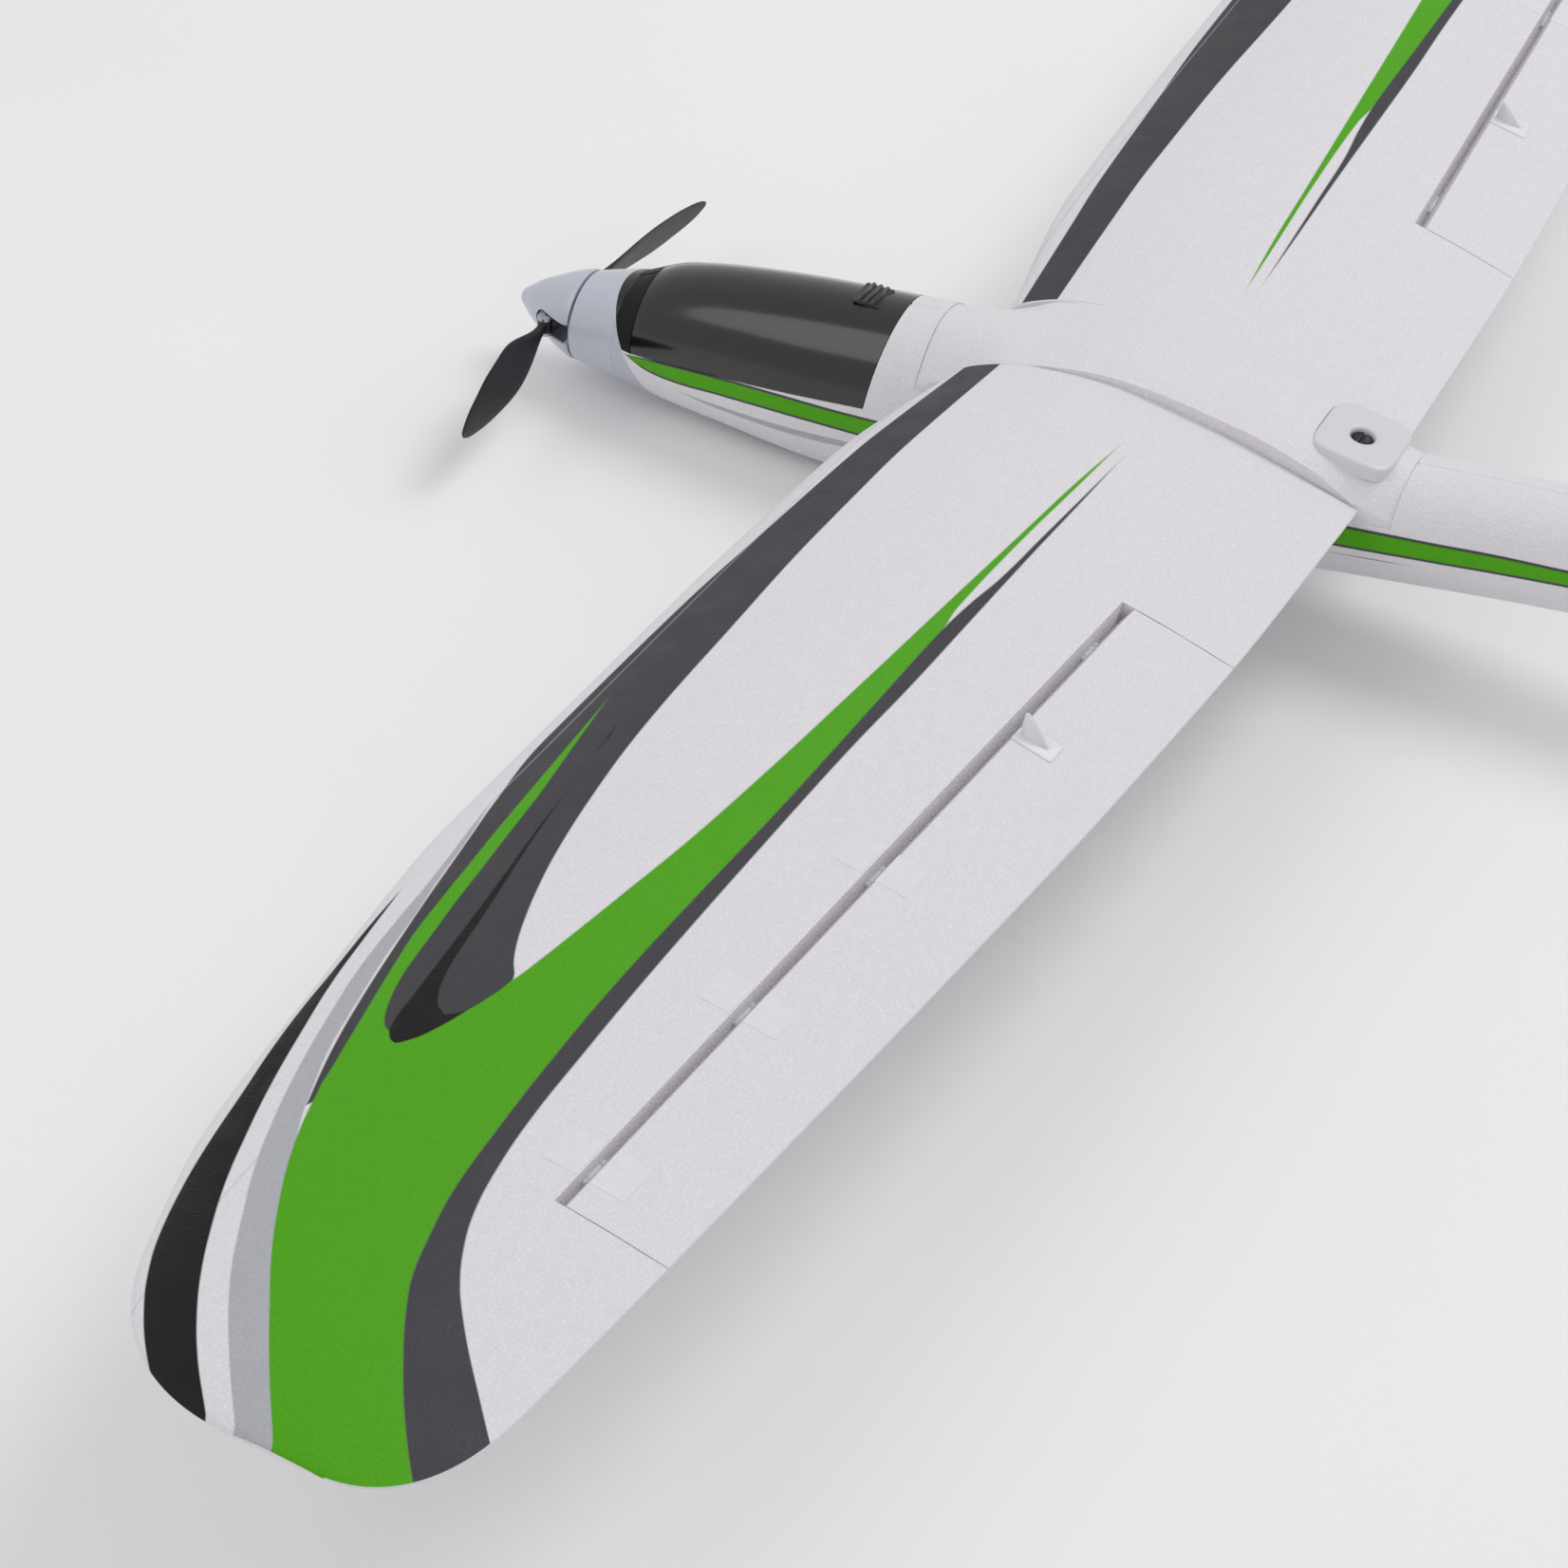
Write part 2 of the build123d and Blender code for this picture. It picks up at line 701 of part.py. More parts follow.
with BuildPart() as motor_bell:
    with BuildSketch(thrust_plane(motor_y + STATOR_BASE + 1.0)):
        Circle(MOTOR_RADIUS)
        Circle(MOTOR_RADIUS - 1.8, mode=Mode.SUBTRACT)
    extrude(amount=MOTOR_LENGTH - STATOR_BASE - 1.0)
    with BuildSketch(thrust_plane(motor_rear_y - 3.0)):
        Circle(MOTOR_RADIUS - 0.5)
        Circle(SHAFT_RADIUS, mode=Mode.SUBTRACT)
        with PolarLocations(MOTOR_RADIUS / 2 + 1.0, 6):
            Circle(2.2, mode=Mode.SUBTRACT)
    extrude(amount=3.0)
save(motor_bell.part, "motor_bell")

shaft_front_y = BLADE_PIN_Y - 7.0
save(disc(shaft_front_y, motor_rear_y - shaft_front_y, SHAFT_RADIUS), "motor_shaft")

# spinner, hub and folding blades
slot_half = BLADE_BOSS_HALF + CHEEK_GAP + CHEEK_THICKNESS + 0.5


def spinner_slots(inner_x):
    """Openings on both sides for the cheeks and the blade roots, round at the front."""
    with BuildPart() as slots:
        with BuildSketch(Plane.YZ.offset(inner_x)):
            with Locations((BLADE_PIN_Y - 2.0, THRUST_Z)):
                Circle(slot_half)
            with Locations(((BLADE_PIN_Y + COWL_FRONT_Y) / 2, THRUST_Z)):
                Rectangle(COWL_FRONT_Y - BLADE_PIN_Y + 2.0, 2 * slot_half)
        extrude(amount=40)
        mirror(about=Plane.YZ)
    return slots.part


with BuildPart() as spinner_backplate:
    with BuildSketch(thrust_plane(SPINNER_BASE_Y)):
        Circle(SPINNER_RADIUS)
        Circle(SHAFT_RADIUS, mode=Mode.SUBTRACT)
    extrude(amount=BACKPLATE_THICKNESS)
    add(spinner_slots(BLADE_PIN_X - 2.0), mode=Mode.SUBTRACT)
save(spinner_backplate.part, "spinner_backplate")

spinner_length = SPINNER_BASE_Y - NOSE_Y


def spinner_outline(inset):
    """Half section of the spinner, rounded at the tip: radius grows with length to the 0.62."""
    radius = SPINNER_RADIUS - inset
    length = spinner_length - inset
    shares = (0.0, 0.1, 0.3, 0.6, 1.0)
    return [(radius * share**0.62, SPINNER_BASE_Y - length * (1 - share)) for share in shares]


def spinner_solid(inset):
    """Turned solid of the spinner, drawn in by the inset."""
    outline = spinner_outline(inset)
    with BuildPart() as cone:
        with BuildSketch(Plane(origin=(0, 0, THRUST_Z), x_dir=(1, 0, 0), z_dir=(0, 0, 1))):
            with BuildLine():
                skin = Spline(*outline, tangents=((1, 0), (0.35, 1)))
                Polyline(skin @ 1, (0, SPINNER_BASE_Y), skin @ 0)
            make_face()
        revolve(axis=Axis((0, 0, THRUST_Z), (0, 1, 0)))
    return cone.part


save(cut(spinner_solid(0), spinner_solid(SPINNER_WALL), spinner_slots(BLADE_PIN_X - 7.5)), "spinner_cone")

with BuildPart() as prop_hub:
    with BuildSketch(thrust_plane(BLADE_PIN_Y - 4.0)):
        Circle(HUB_RADIUS)
        Circle(SHAFT_RADIUS, mode=Mode.SUBTRACT)
    extrude(amount=SPINNER_BASE_Y - BLADE_PIN_Y + 4.0)
    for side in (1, -1):
        level = THRUST_Z + side * (BLADE_BOSS_HALF + CHEEK_GAP + CHEEK_THICKNESS / 2)
        with BuildSketch(Plane.XY.offset(level - CHEEK_THICKNESS / 2)):
            with Locations((0, BLADE_PIN_Y)):
                SlotCenterToCenter(2 * BLADE_PIN_X, 2 * BLADE_BOSS_RADIUS)
            with Locations((BLADE_PIN_X, BLADE_PIN_Y), (-BLADE_PIN_X, BLADE_PIN_Y)):
                Circle(BLADE_PIN_RADIUS, mode=Mode.SUBTRACT)
        extrude(amount=CHEEK_THICKNESS)
    with BuildSketch(thrust_plane(BLADE_PIN_Y - 4.0)):
        Circle(SHAFT_RADIUS)
    extrude(amount=SPINNER_BASE_Y - BLADE_PIN_Y + 4.0, mode=Mode.SUBTRACT)
save(prop_hub.part, "prop_hub")

pin_half = BLADE_BOSS_HALF + CHEEK_GAP + CHEEK_THICKNESS
with BuildPart() as blade_pins:
    with BuildSketch(Plane.XY.offset(THRUST_Z - pin_half)):
        with Locations((BLADE_PIN_X, BLADE_PIN_Y), (-BLADE_PIN_X, BLADE_PIN_Y)):
            Circle(BLADE_PIN_RADIUS)
    extrude(amount=2 * pin_half)
save(blade_pins.part, "blade_pins")

with BuildPart() as blade_flat:
    for along, chord, thickness, pitch in BLADE_STATIONS:
        lean = radians(pitch)
        with BuildSketch(Plane(origin=(along, 0, 0), x_dir=(0, -sin(lean), cos(lean)), z_dir=(1, 0, 0))):
            Ellipse(chord / 2, thickness / 2)
    loft()
    with BuildSketch(Plane.XY.offset(-BLADE_BOSS_HALF)):
        Circle(BLADE_BOSS_RADIUS)
    extrude(amount=2 * BLADE_BOSS_HALF)
    with BuildSketch(Plane.XY.offset(-BLADE_BOSS_HALF)):
        Circle(BLADE_PIN_RADIUS + RUNNING_FIT)
    extrude(amount=2 * BLADE_BOSS_HALF, mode=Mode.SUBTRACT)
blade = Pos(BLADE_PIN_X, BLADE_PIN_Y, THRUST_Z) * Rot(0, 0, BLADE_REST_FOLD) * blade_flat.part
save(blade, "blade_a")
save(blade.rotate(Axis((0, 0, THRUST_Z), (0, 1, 0)), 180), "blade_b")


# ---------------------------------------------------------------- wing, ailerons and their drive

wing_whole = wing_solid()
aileron_outer_x = HALF_SPAN - AILERON_TIP_MARGIN
hinge_start = hinge_point(AILERON_INNER_X, AILERON_INNER_CHORD)
hinge_end = hinge_point(aileron_outer_x, AILERON_OUTER_CHORD)
aileron_plane = hinge_plane(hinge_start, hinge_end, (0, 1, 0))
aileron_length = (hinge_end - hinge_start).length
aileron_hinges = (30.0, aileron_length - 224.0, aileron_length - 126.0, aileron_length - 24.0)
panel_cut, aileron_cut, aileron_leaves, aileron_eyes = hinged_pair(
    wing_whole, aileron_plane, aileron_length, 90.0, aileron_hinges
)

servo_origin = aileron_plane.from_local_coords((-AILERON_ROD[0], -AILERON_ROD[1], HORN_PLACE))
aileron_servo_plane = Plane(origin=servo_origin, x_dir=aileron_plane.x_dir, z_dir=aileron_plane.z_dir)
aileron_horn_plane = aileron_plane.offset(HORN_PLACE)

AILERON_STEM = ((7.0, -3.0), (19.0, -2.5), (19.0, 4.5), (9.5, 17.0), (8.0, 17.0), (6.5, 6.5))
AILERON_PLATE = ((5.5, 6.0), (23.0, 1.6), (23.0, 3.4), (5.5, 7.9))
aileron_horn = horn(aileron_horn_plane, AILERON_STEM, AILERON_PLATE, arm_level())

joiner_lean = radians(DIHEDRAL)


def joiner_bar(radius):
    """Bar along the left panel's dihedral, from the middle of the aircraft."""
    middle_z = JOINER_Z - ROOT_X * tan(joiner_lean)
    along = (cos(joiner_lean), 0, sin(joiner_lean))
    bar_plane = Plane(origin=(0, JOINER_Y, middle_z), x_dir=(0, 1, 0), z_dir=along)
    with BuildPart() as bar:
        with BuildSketch(bar_plane.offset(-JOINER_RADIUS)):
            Circle(radius)
        extrude(amount=JOINER_REACH + JOINER_RADIUS)
        split(bisect_by=Plane.YZ, keep=Keep.TOP)
    return bar.part


def both_sides(solid):
    """The solid and its mirror image as one piece."""
    with BuildPart() as pair:
        add(solid)
        mirror(about=Plane.YZ)
    return pair.part


joiner_hole = both_sides(joiner_bar(JOINER_RADIUS))
save(cut(joiner_hole, both_sides(joiner_bar(JOINER_BORE))), "wing_joiner")

with BuildPart() as root_rib:
    add(airfoil(wing_plane(ROOT_X - RIB_THICKNESS, 0), WING_STATIONS[0][2], 1.0))
    extrude(amount=RIB_THICKNESS, dir=(1, 0, 0))

left_side = {
    "wing_panel": cut(panel_cut, joiner_hole, wing_servo_pocket(aileron_servo_plane)),
    "root_rib": cut(root_rib.part, joiner_hole),
    "aileron_servo": servo_case(aileron_servo_plane),
    "aileron_hinge_pins": aileron_leaves,
    "aileron": cut(aileron_cut, aileron_horn),
    "aileron_hinge_eyes": aileron_eyes,
    "aileron_horn": aileron_horn,
    "aileron_servo_arm": servo_arm(aileron_servo_plane),
    "aileron_pushrod": pushrod(aileron_servo_plane, AILERON_ROD),
}
for name, solid in left_side.items():
    save(solid, f"left_{name}")
    with BuildPart() as twin:
        mirror(solid, about=Plane.YZ)
    save(twin.part, f"right_{name}")


# ---------------------------------------------------------------- centre fairing and wing bolt


def fairing_solid():
    """Loft over the wing joint: flat seat, upright sides and a crowned top."""
    with BuildPart() as fairing:
        for y, side, ridge, half in FAIRING_STATIONS:
            with BuildSketch(Plane(origin=(0, y, 0), x_dir=(1, 0, 0), z_dir=(0, -1, 0))):
                with BuildLine():
                    crown = Spline((half, side), (0, ridge), (-half, side))
                    Polyline(crown @ 1, (-half, FAIRING_SEAT_Z), (half, FAIRING_SEAT_Z), crown @ 0)
                make_face()
        loft(ruled=True)
    return fairing.part


slope = radians(PLATE_SLOPE)
bolt_plane = Plane(origin=(0, BOLT_Y, PLATE_TOP_Z), x_dir=(1, 0, 0), z_dir=(0, sin(slope), cos(slope)))


def plate_block(height, below):
    """Rounded rectangle of the bolt plate, from below its top face."""
    with BuildPart() as block:
        with BuildSketch(bolt_plane.offset(-below)):
            RectangleRounded(PLATE_WIDTH, PLATE_LENGTH, PLATE_CORNER)
        extrude(amount=height)
    return block.part


def bolt_bar(radius, top, length):
    """Round bar on the bolt's axis, from a level under the plate's top face."""
    with BuildPart() as bar:
        with BuildSketch(bolt_plane.offset(-top)):
            Circle(radius)
        extrude(amount=-length)
    return bar.part


head_top = PLATE_DEPTH - BOLT_HEAD_HEIGHT - 1.5
wing_bolt = joined(
    bolt_bar(BOLT_HEAD_RADIUS, head_top, BOLT_HEAD_HEIGHT),
    bolt_bar(BOLT_SHANK_RADIUS, head_top + BOLT_HEAD_HEIGHT, BOLT_LENGTH),
)
with BuildPart() as bolt_slot:
    with BuildSketch(bolt_plane.offset(-head_top)):
        Rectangle(2 * BOLT_HEAD_RADIUS, 1.4)
    extrude(amount=-1.6)
save(cut(wing_bolt, bolt_slot.part), "wing_bolt")

plate_hole = bolt_bar(BOLT_HEAD_RADIUS + GAP, 0, head_top + BOLT_HEAD_HEIGHT)
save(cut(plate_block(PLATE_DEPTH, PLATE_DEPTH), plate_hole, wing_bolt), "wing_bolt_plate")
save(
    cut(fairing_solid(), plate_block(PLATE_DEPTH + 30, PLATE_DEPTH), joiner_hole, wing_bolt),
    "wing_fairing",
)


# ---------------------------------------------------------------- tail


def fin_solid():
    """Fin and rudder as one symmetric surface, from low in the boom to the top."""
    rise = FIN_TOP_Z - FIN_ROOT_Z
    stations = (
        (0.0, FIN_ROOT_FRONT_Y, TAIL_Y, 1.0),
        (0.45, FIN_ROOT_FRONT_Y + 0.36 * (FIN_TOP_FRONT_Y - FIN_ROOT_FRONT_Y), TAIL_Y, 0.96),
        (0.90, FIN_TOP_FRONT_Y - 14.0, TAIL_Y - 6.0, 0.90),
        (0.97, FIN_TOP_FRONT_Y, TAIL_Y - 9.0, 0.75),
        (1.0, FIN_TOP_FRONT_Y + 18.0, RUDDER_TOP_REAR_Y, 0.45),
    )
    with BuildPart() as fin:
        for share, front, rear, scale in stations:
            level = FIN_ROOT_Z + share * rise
            plane = Plane(origin=(0, front, level), x_dir=(0, 1, 0), z_dir=(0, 0, 1))
            add(airfoil(plane, rear - front, scale * FIN_SCALE, TAIL_AIRFOIL))
        loft(ruled=True)
    return fin.part


def stab_solid():
    """Stabiliser and elevator as one symmetric surface."""
    rear = ELEVATOR_HINGE_Y + ELEVATOR_CHORD
    tip_rear = ELEVATOR_HINGE_Y + ELEVATOR_TIP_CHORD
    stations = (
        (0.0, STAB_ROOT_FRONT_Y, rear, 1.0),
        (0.5, (STAB_ROOT_FRONT_Y + STAB_TIP_FRONT_Y) / 2 - 3.0, (rear + tip_rear) / 2 + 1.0, 1.0),
        (0.88, STAB_TIP_FRONT_Y - 9.0, tip_rear, 1.0),
        (0.97, STAB_TIP_FRONT_Y, tip_rear - 2.0, 0.85),
        (1.0, STAB_TIP_FRONT_Y + 20.0, tip_rear - 9.0, 0.5),
    )
    with BuildPart() as half:
        for share, front, back, scale in stations:
            x = share * STAB_HALF_SPAN
            plane = Plane(origin=(x, front, STAB_Z), x_dir=(0, 1, 0), z_dir=(1, 0, 0))
            add(airfoil(plane, back - front, scale * STAB_SCALE, TAIL_AIRFOIL))
        loft(ruled=True)
    return both_sides(half.part)


rudder_plane = hinge_plane((0, BOOM_END_Y, RUDDER_BOTTOM_Z), (0, BOOM_END_Y, FIN_TOP_Z), (0, 1, 0))
rudder_length = FIN_TOP_Z - RUDDER_BOTTOM_Z + 5.0
rudder_hinges = (19.0, 80.0, 141.0)
fin_cut, rudder_cut, rudder_pins, rudder_eyes = hinged_pair(
    fin_solid(), rudder_plane, rudder_length, 90.0, rudder_hinges, undercut=40.0
)
elevator_plane = hinge_plane(
    (-STAB_HALF_SPAN - 5.0, ELEVATOR_HINGE_Y, STAB_Z),
    (STAB_HALF_SPAN + 5.0, ELEVATOR_HINGE_Y, STAB_Z),
    (0, 1, 0),
)
elevator_length = 2 * STAB_HALF_SPAN + 10.0
elevator_hinges = (45.0, 160.0, elevator_length - 160.0, elevator_length - 45.0)
stab_cut, elevator_cut, elevator_pins, elevator_eyes = hinged_pair(
    stab_solid(), elevator_plane, elevator_length, 90.0, elevator_hinges
)

rudder_servo_plane = Plane(
    origin=(0, BOOM_END_Y - RUDDER_ROD[0], RUDDER_SERVO_Z), x_dir=(0, 1, 0), z_dir=(0, 0, 1)
)
elevator_servo_plane = Plane(
    origin=(ELEVATOR_SERVO_X, ELEVATOR_HINGE_Y - ELEVATOR_ROD[0], STAB_Z), x_dir=(0, 1, 0), z_dir=(1, 0, 0)
)
rudder_horn_plane = Plane(origin=(0, BOOM_END_Y, RUDDER_SERVO_Z), x_dir=(0, 1, 0), z_dir=(0, 0, 1))
elevator_horn_foot = (ELEVATOR_SERVO_X, ELEVATOR_HINGE_Y, STAB_Z)
elevator_horn_plane = Plane(origin=elevator_horn_foot, x_dir=(0, 1, 0), z_dir=(1, 0, 0))

TAIL_STEM = ((5.0, -2.5), (19.0, -2.0), (19.0, -0.5), (5.0, -0.5))
TAIL_PLATE = ((5.0, -4.4), (20.0, -3.2), (20.0, -2.0), (5.0, -2.0))
rudder_horn = common(
    horn(rudder_horn_plane, TAIL_STEM, TAIL_PLATE, arm_level()),
    slab((-80, 300, RUDDER_BOTTOM_Z), (80, 600, 300)),
)
elevator_horn = horn(elevator_horn_plane, TAIL_STEM, TAIL_PLATE, arm_level())

with BuildPart() as stab_spar:
    with BuildSketch(Plane.YZ.offset(-STAB_SPAR_HALF)):
        with Locations((STAB_SPAR_Y, STAB_Z)):
            Circle(STAB_SPAR_RADIUS)
    extrude(amount=2 * STAB_SPAR_HALF)

vertical_fin = cut(fin_cut, outer_body)
stabilizer = cut(stab_cut, stab_spar.part)
save(vertical_fin, "vertical_fin")
save(stabilizer, "stabilizer")
save(stab_spar.part, "stabilizer_spar")
save(rudder_pins, "rudder_hinge_pins")
save(elevator_pins, "elevator_hinge_pins")
save(cut(rudder_cut, rudder_horn), "rudder")
save(rudder_eyes, "rudder_hinge_eyes")
save(rudder_horn, "rudder_horn")
save(cut(elevator_cut, elevator_horn), "elevator")
save(elevator_eyes, "elevator_hinge_eyes")
save(elevator_horn, "elevator_horn")
save(servo_case(rudder_servo_plane), "rudder_servo")
save(servo_arm(rudder_servo_plane), "rudder_servo_arm")
save(pushrod(rudder_servo_plane, RUDDER_ROD), "rudder_pushrod")
save(servo_case(elevator_servo_plane), "elevator_servo")
save(servo_arm(elevator_servo_plane), "elevator_servo_arm")
save(pushrod(elevator_servo_plane, ELEVATOR_ROD), "elevator_pushrod")


# ---------------------------------------------------------------- fuselage halves

tail_plug_y = BOOM_END_Y - SHELL_WALL
hollow = common(inner_body, cross_slab(POD_STATIONS[0][0] - 1, tail_plug_y))
fairing_front_y = FAIRING_STATIONS[0][0] - 0.2
fairing_rear_y = FAIRING_STATIONS[-1][0] + 0.2
saddle_cut = slab((-80, fairing_front_y, FAIRING_SEAT_Z), (80, fairing_rear_y, 200))
shell = cut(
    outer_body,
    hollow,
    hatch_region(SEAM),
    saddle_cut,
    slab((-80, -600, -40), (80, 0, BELLY_FLAT_Z)),
    boom_servo_pocket(rudder_servo_plane),
    boom_servo_pocket(elevator_servo_plane),
    stab_cut,
    wing_bolt,
)
for name, keep in (("fuselage_left_half", Keep.TOP), ("fuselage_right_half", Keep.BOTTOM)):
    with BuildPart() as half_shell:
        add(shell)
        split(bisect_by=Plane.YZ, keep=keep)
    save(half_shell.part, name)

with BuildPart() as belly_skid:
    with BuildSketch(Plane.XY):
        with Locations((0, (SKID_FRONT_Y + SKID_REAR_Y) / 2)):
            SlotOverall(SKID_REAR_Y - SKID_FRONT_Y, SKID_WIDTH, rotation=90)
    extrude(amount=BELLY_FLAT_Z)
save(belly_skid.part, "belly_skid")


# ---------------------------------------------------------------- hatch and latch

tongue_root_y = HATCH_FRONT_Y + TONGUE_ROOT
tongue_web = common(
    slab((-TONGUE_HALF, HATCH_FRONT_Y + GAP, TONGUE_Z), (TONGUE_HALF, tongue_root_y, HATCH_TOP_Z)),
    outer_body,
)
hatch_tongue = slab(
    (-TONGUE_HALF, HATCH_FRONT_Y - TONGUE_REACH, TONGUE_Z),
    (TONGUE_HALF, tongue_root_y, TONGUE_Z + TONGUE_THICKNESS),
)
latch_front = LATCH_Y - LATCH_LENGTH / 2
latch_rear = LATCH_Y + LATCH_LENGTH / 2
stem_half = 4.0
latch_recess = slab(
    (-LATCH_WIDTH / 2 - GAP, latch_front - LATCH_TRAVEL - GAP, LATCH_SEAT_Z),
    (LATCH_WIDTH / 2 + GAP, latch_rear + GAP, HATCH_TOP_Z),
)
latch_slot = slab(
    (-stem_half - GAP, LATCH_Y - stem_half - LATCH_TRAVEL - GAP, 80.0),
    (stem_half + GAP, LATCH_Y + stem_half + GAP, HATCH_TOP_Z),
)
hatch_shell = cut(common(outer_body, hatch_region(0)), hatch_inner)
canopy_hatch = cut(joined(hatch_shell, tongue_web, hatch_tongue), latch_recess, latch_slot)
save(canopy_hatch, "canopy_hatch")

ridge_pitch = LATCH_LENGTH / (LATCH_RIDGES + 1)
tongue_z = LATCH_SEAT_Z - HATCH_WALL - 2.6
latch_low = LATCH_SEAT_Z + 0.2
latch_top = LATCH_SEAT_Z + 1.8
with BuildPart() as hatch_latch:
    add(slab((-LATCH_WIDTH / 2, latch_front, latch_low), (LATCH_WIDTH / 2, latch_rear, latch_top)))
    add(slab((-stem_half, LATCH_Y - stem_half, tongue_z), (stem_half, LATCH_Y + stem_half, latch_top - 0.8)))
    add(slab((-stem_half, LATCH_Y, tongue_z), (stem_half, HATCH_REAR_TOP_Y - 1.6, tongue_z + 1.6)))
    for index in range(LATCH_RIDGES):
        ridge_y = latch_front + (index + 1) * ridge_pitch
        with BuildSketch(Plane.YZ.offset(-LATCH_WIDTH / 2)):
            with Locations((ridge_y, latch_top)):
                Circle(1.1)
        extrude(amount=LATCH_WIDTH)
save(hatch_latch.part, "hatch_latch")


# ---------------------------------------------------------------- inside the pod

battery_bottom = TRAY_Z + TRAY_THICKNESS


def tray_box(size, y):
    """Box standing on the tray."""
    return slab(
        (-size[0] / 2, y - size[1] / 2, battery_bottom),
        (size[0] / 2, y + size[1] / 2, battery_bottom + size[2]),
    )


strap_inner = slab(
    (-BATTERY_SIZE[0] / 2, BATTERY_Y - 60, TRAY_Z),
    (BATTERY_SIZE[0] / 2, BATTERY_Y + 60, battery_bottom + BATTERY_SIZE[2]),
)
strap_outer = slab(
    (-BATTERY_SIZE[0] / 2 - STRAP_THICKNESS, BATTERY_Y - STRAP_WIDTH / 2, TRAY_Z - STRAP_THICKNESS),
    (
        BATTERY_SIZE[0] / 2 + STRAP_THICKNESS,
        BATTERY_Y + STRAP_WIDTH / 2,
        battery_bottom + BATTERY_SIZE[2] + STRAP_THICKNESS,
    ),
)
battery_strap = cut(strap_outer, strap_inner)
tray = common(
    slab((-TRAY_WIDTH / 2, TRAY_FRONT_Y, TRAY_Z), (TRAY_WIDTH / 2, TRAY_REAR_Y, battery_bottom)),
    inner_body,
)
save(cut(tray, battery_strap), "battery_tray")
save(battery_strap, "battery_strap")
for name, size, y in (
    ("battery_pack", BATTERY_SIZE, BATTERY_Y),
    ("speed_controller", ESC_SIZE, ESC_Y),
    ("receiver", RECEIVER_SIZE, RECEIVER_Y),
):
    with BuildPart() as case:
        add(tray_box(size, y))
        fillet(case.edges().filter_by(Axis.Y), 2.0)
    save(case.part, name)
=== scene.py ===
"""Foam sailplane with a folding propeller: what is seen of it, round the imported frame.

Tables of sizes are in millimetres, as a model maker measures them. The frame is in metres.
"""

import json
import math

import bmesh
import bpy
import numpy as np
from mathutils import Matrix, Vector


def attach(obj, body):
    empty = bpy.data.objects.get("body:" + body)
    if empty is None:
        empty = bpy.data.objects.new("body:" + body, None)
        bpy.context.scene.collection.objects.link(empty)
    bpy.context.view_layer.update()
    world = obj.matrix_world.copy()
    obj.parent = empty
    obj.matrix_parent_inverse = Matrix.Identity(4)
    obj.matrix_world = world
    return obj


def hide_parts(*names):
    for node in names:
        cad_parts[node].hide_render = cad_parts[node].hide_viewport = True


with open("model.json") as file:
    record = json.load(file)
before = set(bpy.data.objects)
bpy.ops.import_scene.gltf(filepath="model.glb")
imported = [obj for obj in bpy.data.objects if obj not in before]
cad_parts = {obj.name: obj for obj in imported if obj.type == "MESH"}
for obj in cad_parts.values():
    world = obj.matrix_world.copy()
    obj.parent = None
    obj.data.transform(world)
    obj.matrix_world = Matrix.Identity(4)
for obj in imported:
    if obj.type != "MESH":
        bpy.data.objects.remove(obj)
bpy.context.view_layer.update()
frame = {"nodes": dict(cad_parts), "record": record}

bl_info = {
    "name": "Foam sailplane",
    "version": (1, 0, 0),
    "blender": (4, 5, 0),
    "location": "3D View > Sidebar > Sailplane",
    "description": "Builds the visual model of a foam sailplane round its frame",
    "category": "Object",
}

MM = 0.001

# ---- fuselage: y, centre height, half width, half height ----
FUSELAGE = (
    (-426.0, 36.5, 27.0, 27.1),
    (-405.0, 40.0, 30.5, 34.0),
    (-371.4, 42.5, 33.5, 39.5),
    (-321.4, 44.5, 36.5, 45.0),
    (-277.4, 47.0, 37.0, 47.5),
    (-248.4, 48.3, 36.5, 49.0),
    (-208.4, 48.5, 36.0, 46.5),
    (-168.4, 49.5, 35.0, 41.5),
    (-113.4, 53.2, 33.0, 34.7),
    (-77.4, 57.4, 31.0, 31.3),
    (-44.4, 60.8, 29.0, 29.6),
    (27.6, 69.8, 27.0, 27.8),
    (152.3, 80.7, 22.9, 23.0),
    (293.2, 91.0, 17.9, 18.0),
    (430.0, 99.0, 13.0, 13.1),
)
SHELL_WALL = 5.0
SEAM_DEPTH = 0.7
TAIL_PLUG_Y = 425.0            # the boom is solid behind this
PLUG_STEP = 0.4
PLUG_CORE = 0.3
BELLY_FLAT_Z = 1.2
HATCH_WALL = 2.5
HATCH_GAP = 0.4
SADDLE_GAP = 0.2
REACH = 70.0                   # cutters go this far to both sides, past the fuselage
HATCH_OUTLINE = (              # y and z of the hatch's edges, from the side
    (-415.0, 40.0),
    (-290.0, 55.3),
    (-283.0, 110.0),
    (-415.0, 110.0),
)

# ---- centre fairing: y, side height, ridge height, half width ----
FAIRING = (
    (-266.4, 72.0, 95.2, 32.0),
    (-250.0, 81.0, 97.0, 29.4),
    (-223.4, 98.0, 101.0, 29.4),
    (-168.4, 107.0, 110.5, 29.4),
    (-113.4, 101.0, 105.5, 29.4),
    (-77.4, 91.0, 98.0, 29.0),
    (-54.4, 78.0, 94.2, 27.5),
    (-38.4, 72.4, 91.0, 26.0),
)
FAIRING_SEAT_Z = 71.0
PLATE_CENTRE = (0.0, -64.4, 96.4)
PLATE_SIZE = (40.0, 38.0)
PLATE_DEPTH = 7.0
PLATE_SLOPE = 8.0
PLATE_HOLE = 5.6
PLATE_SQUARE = 0.42

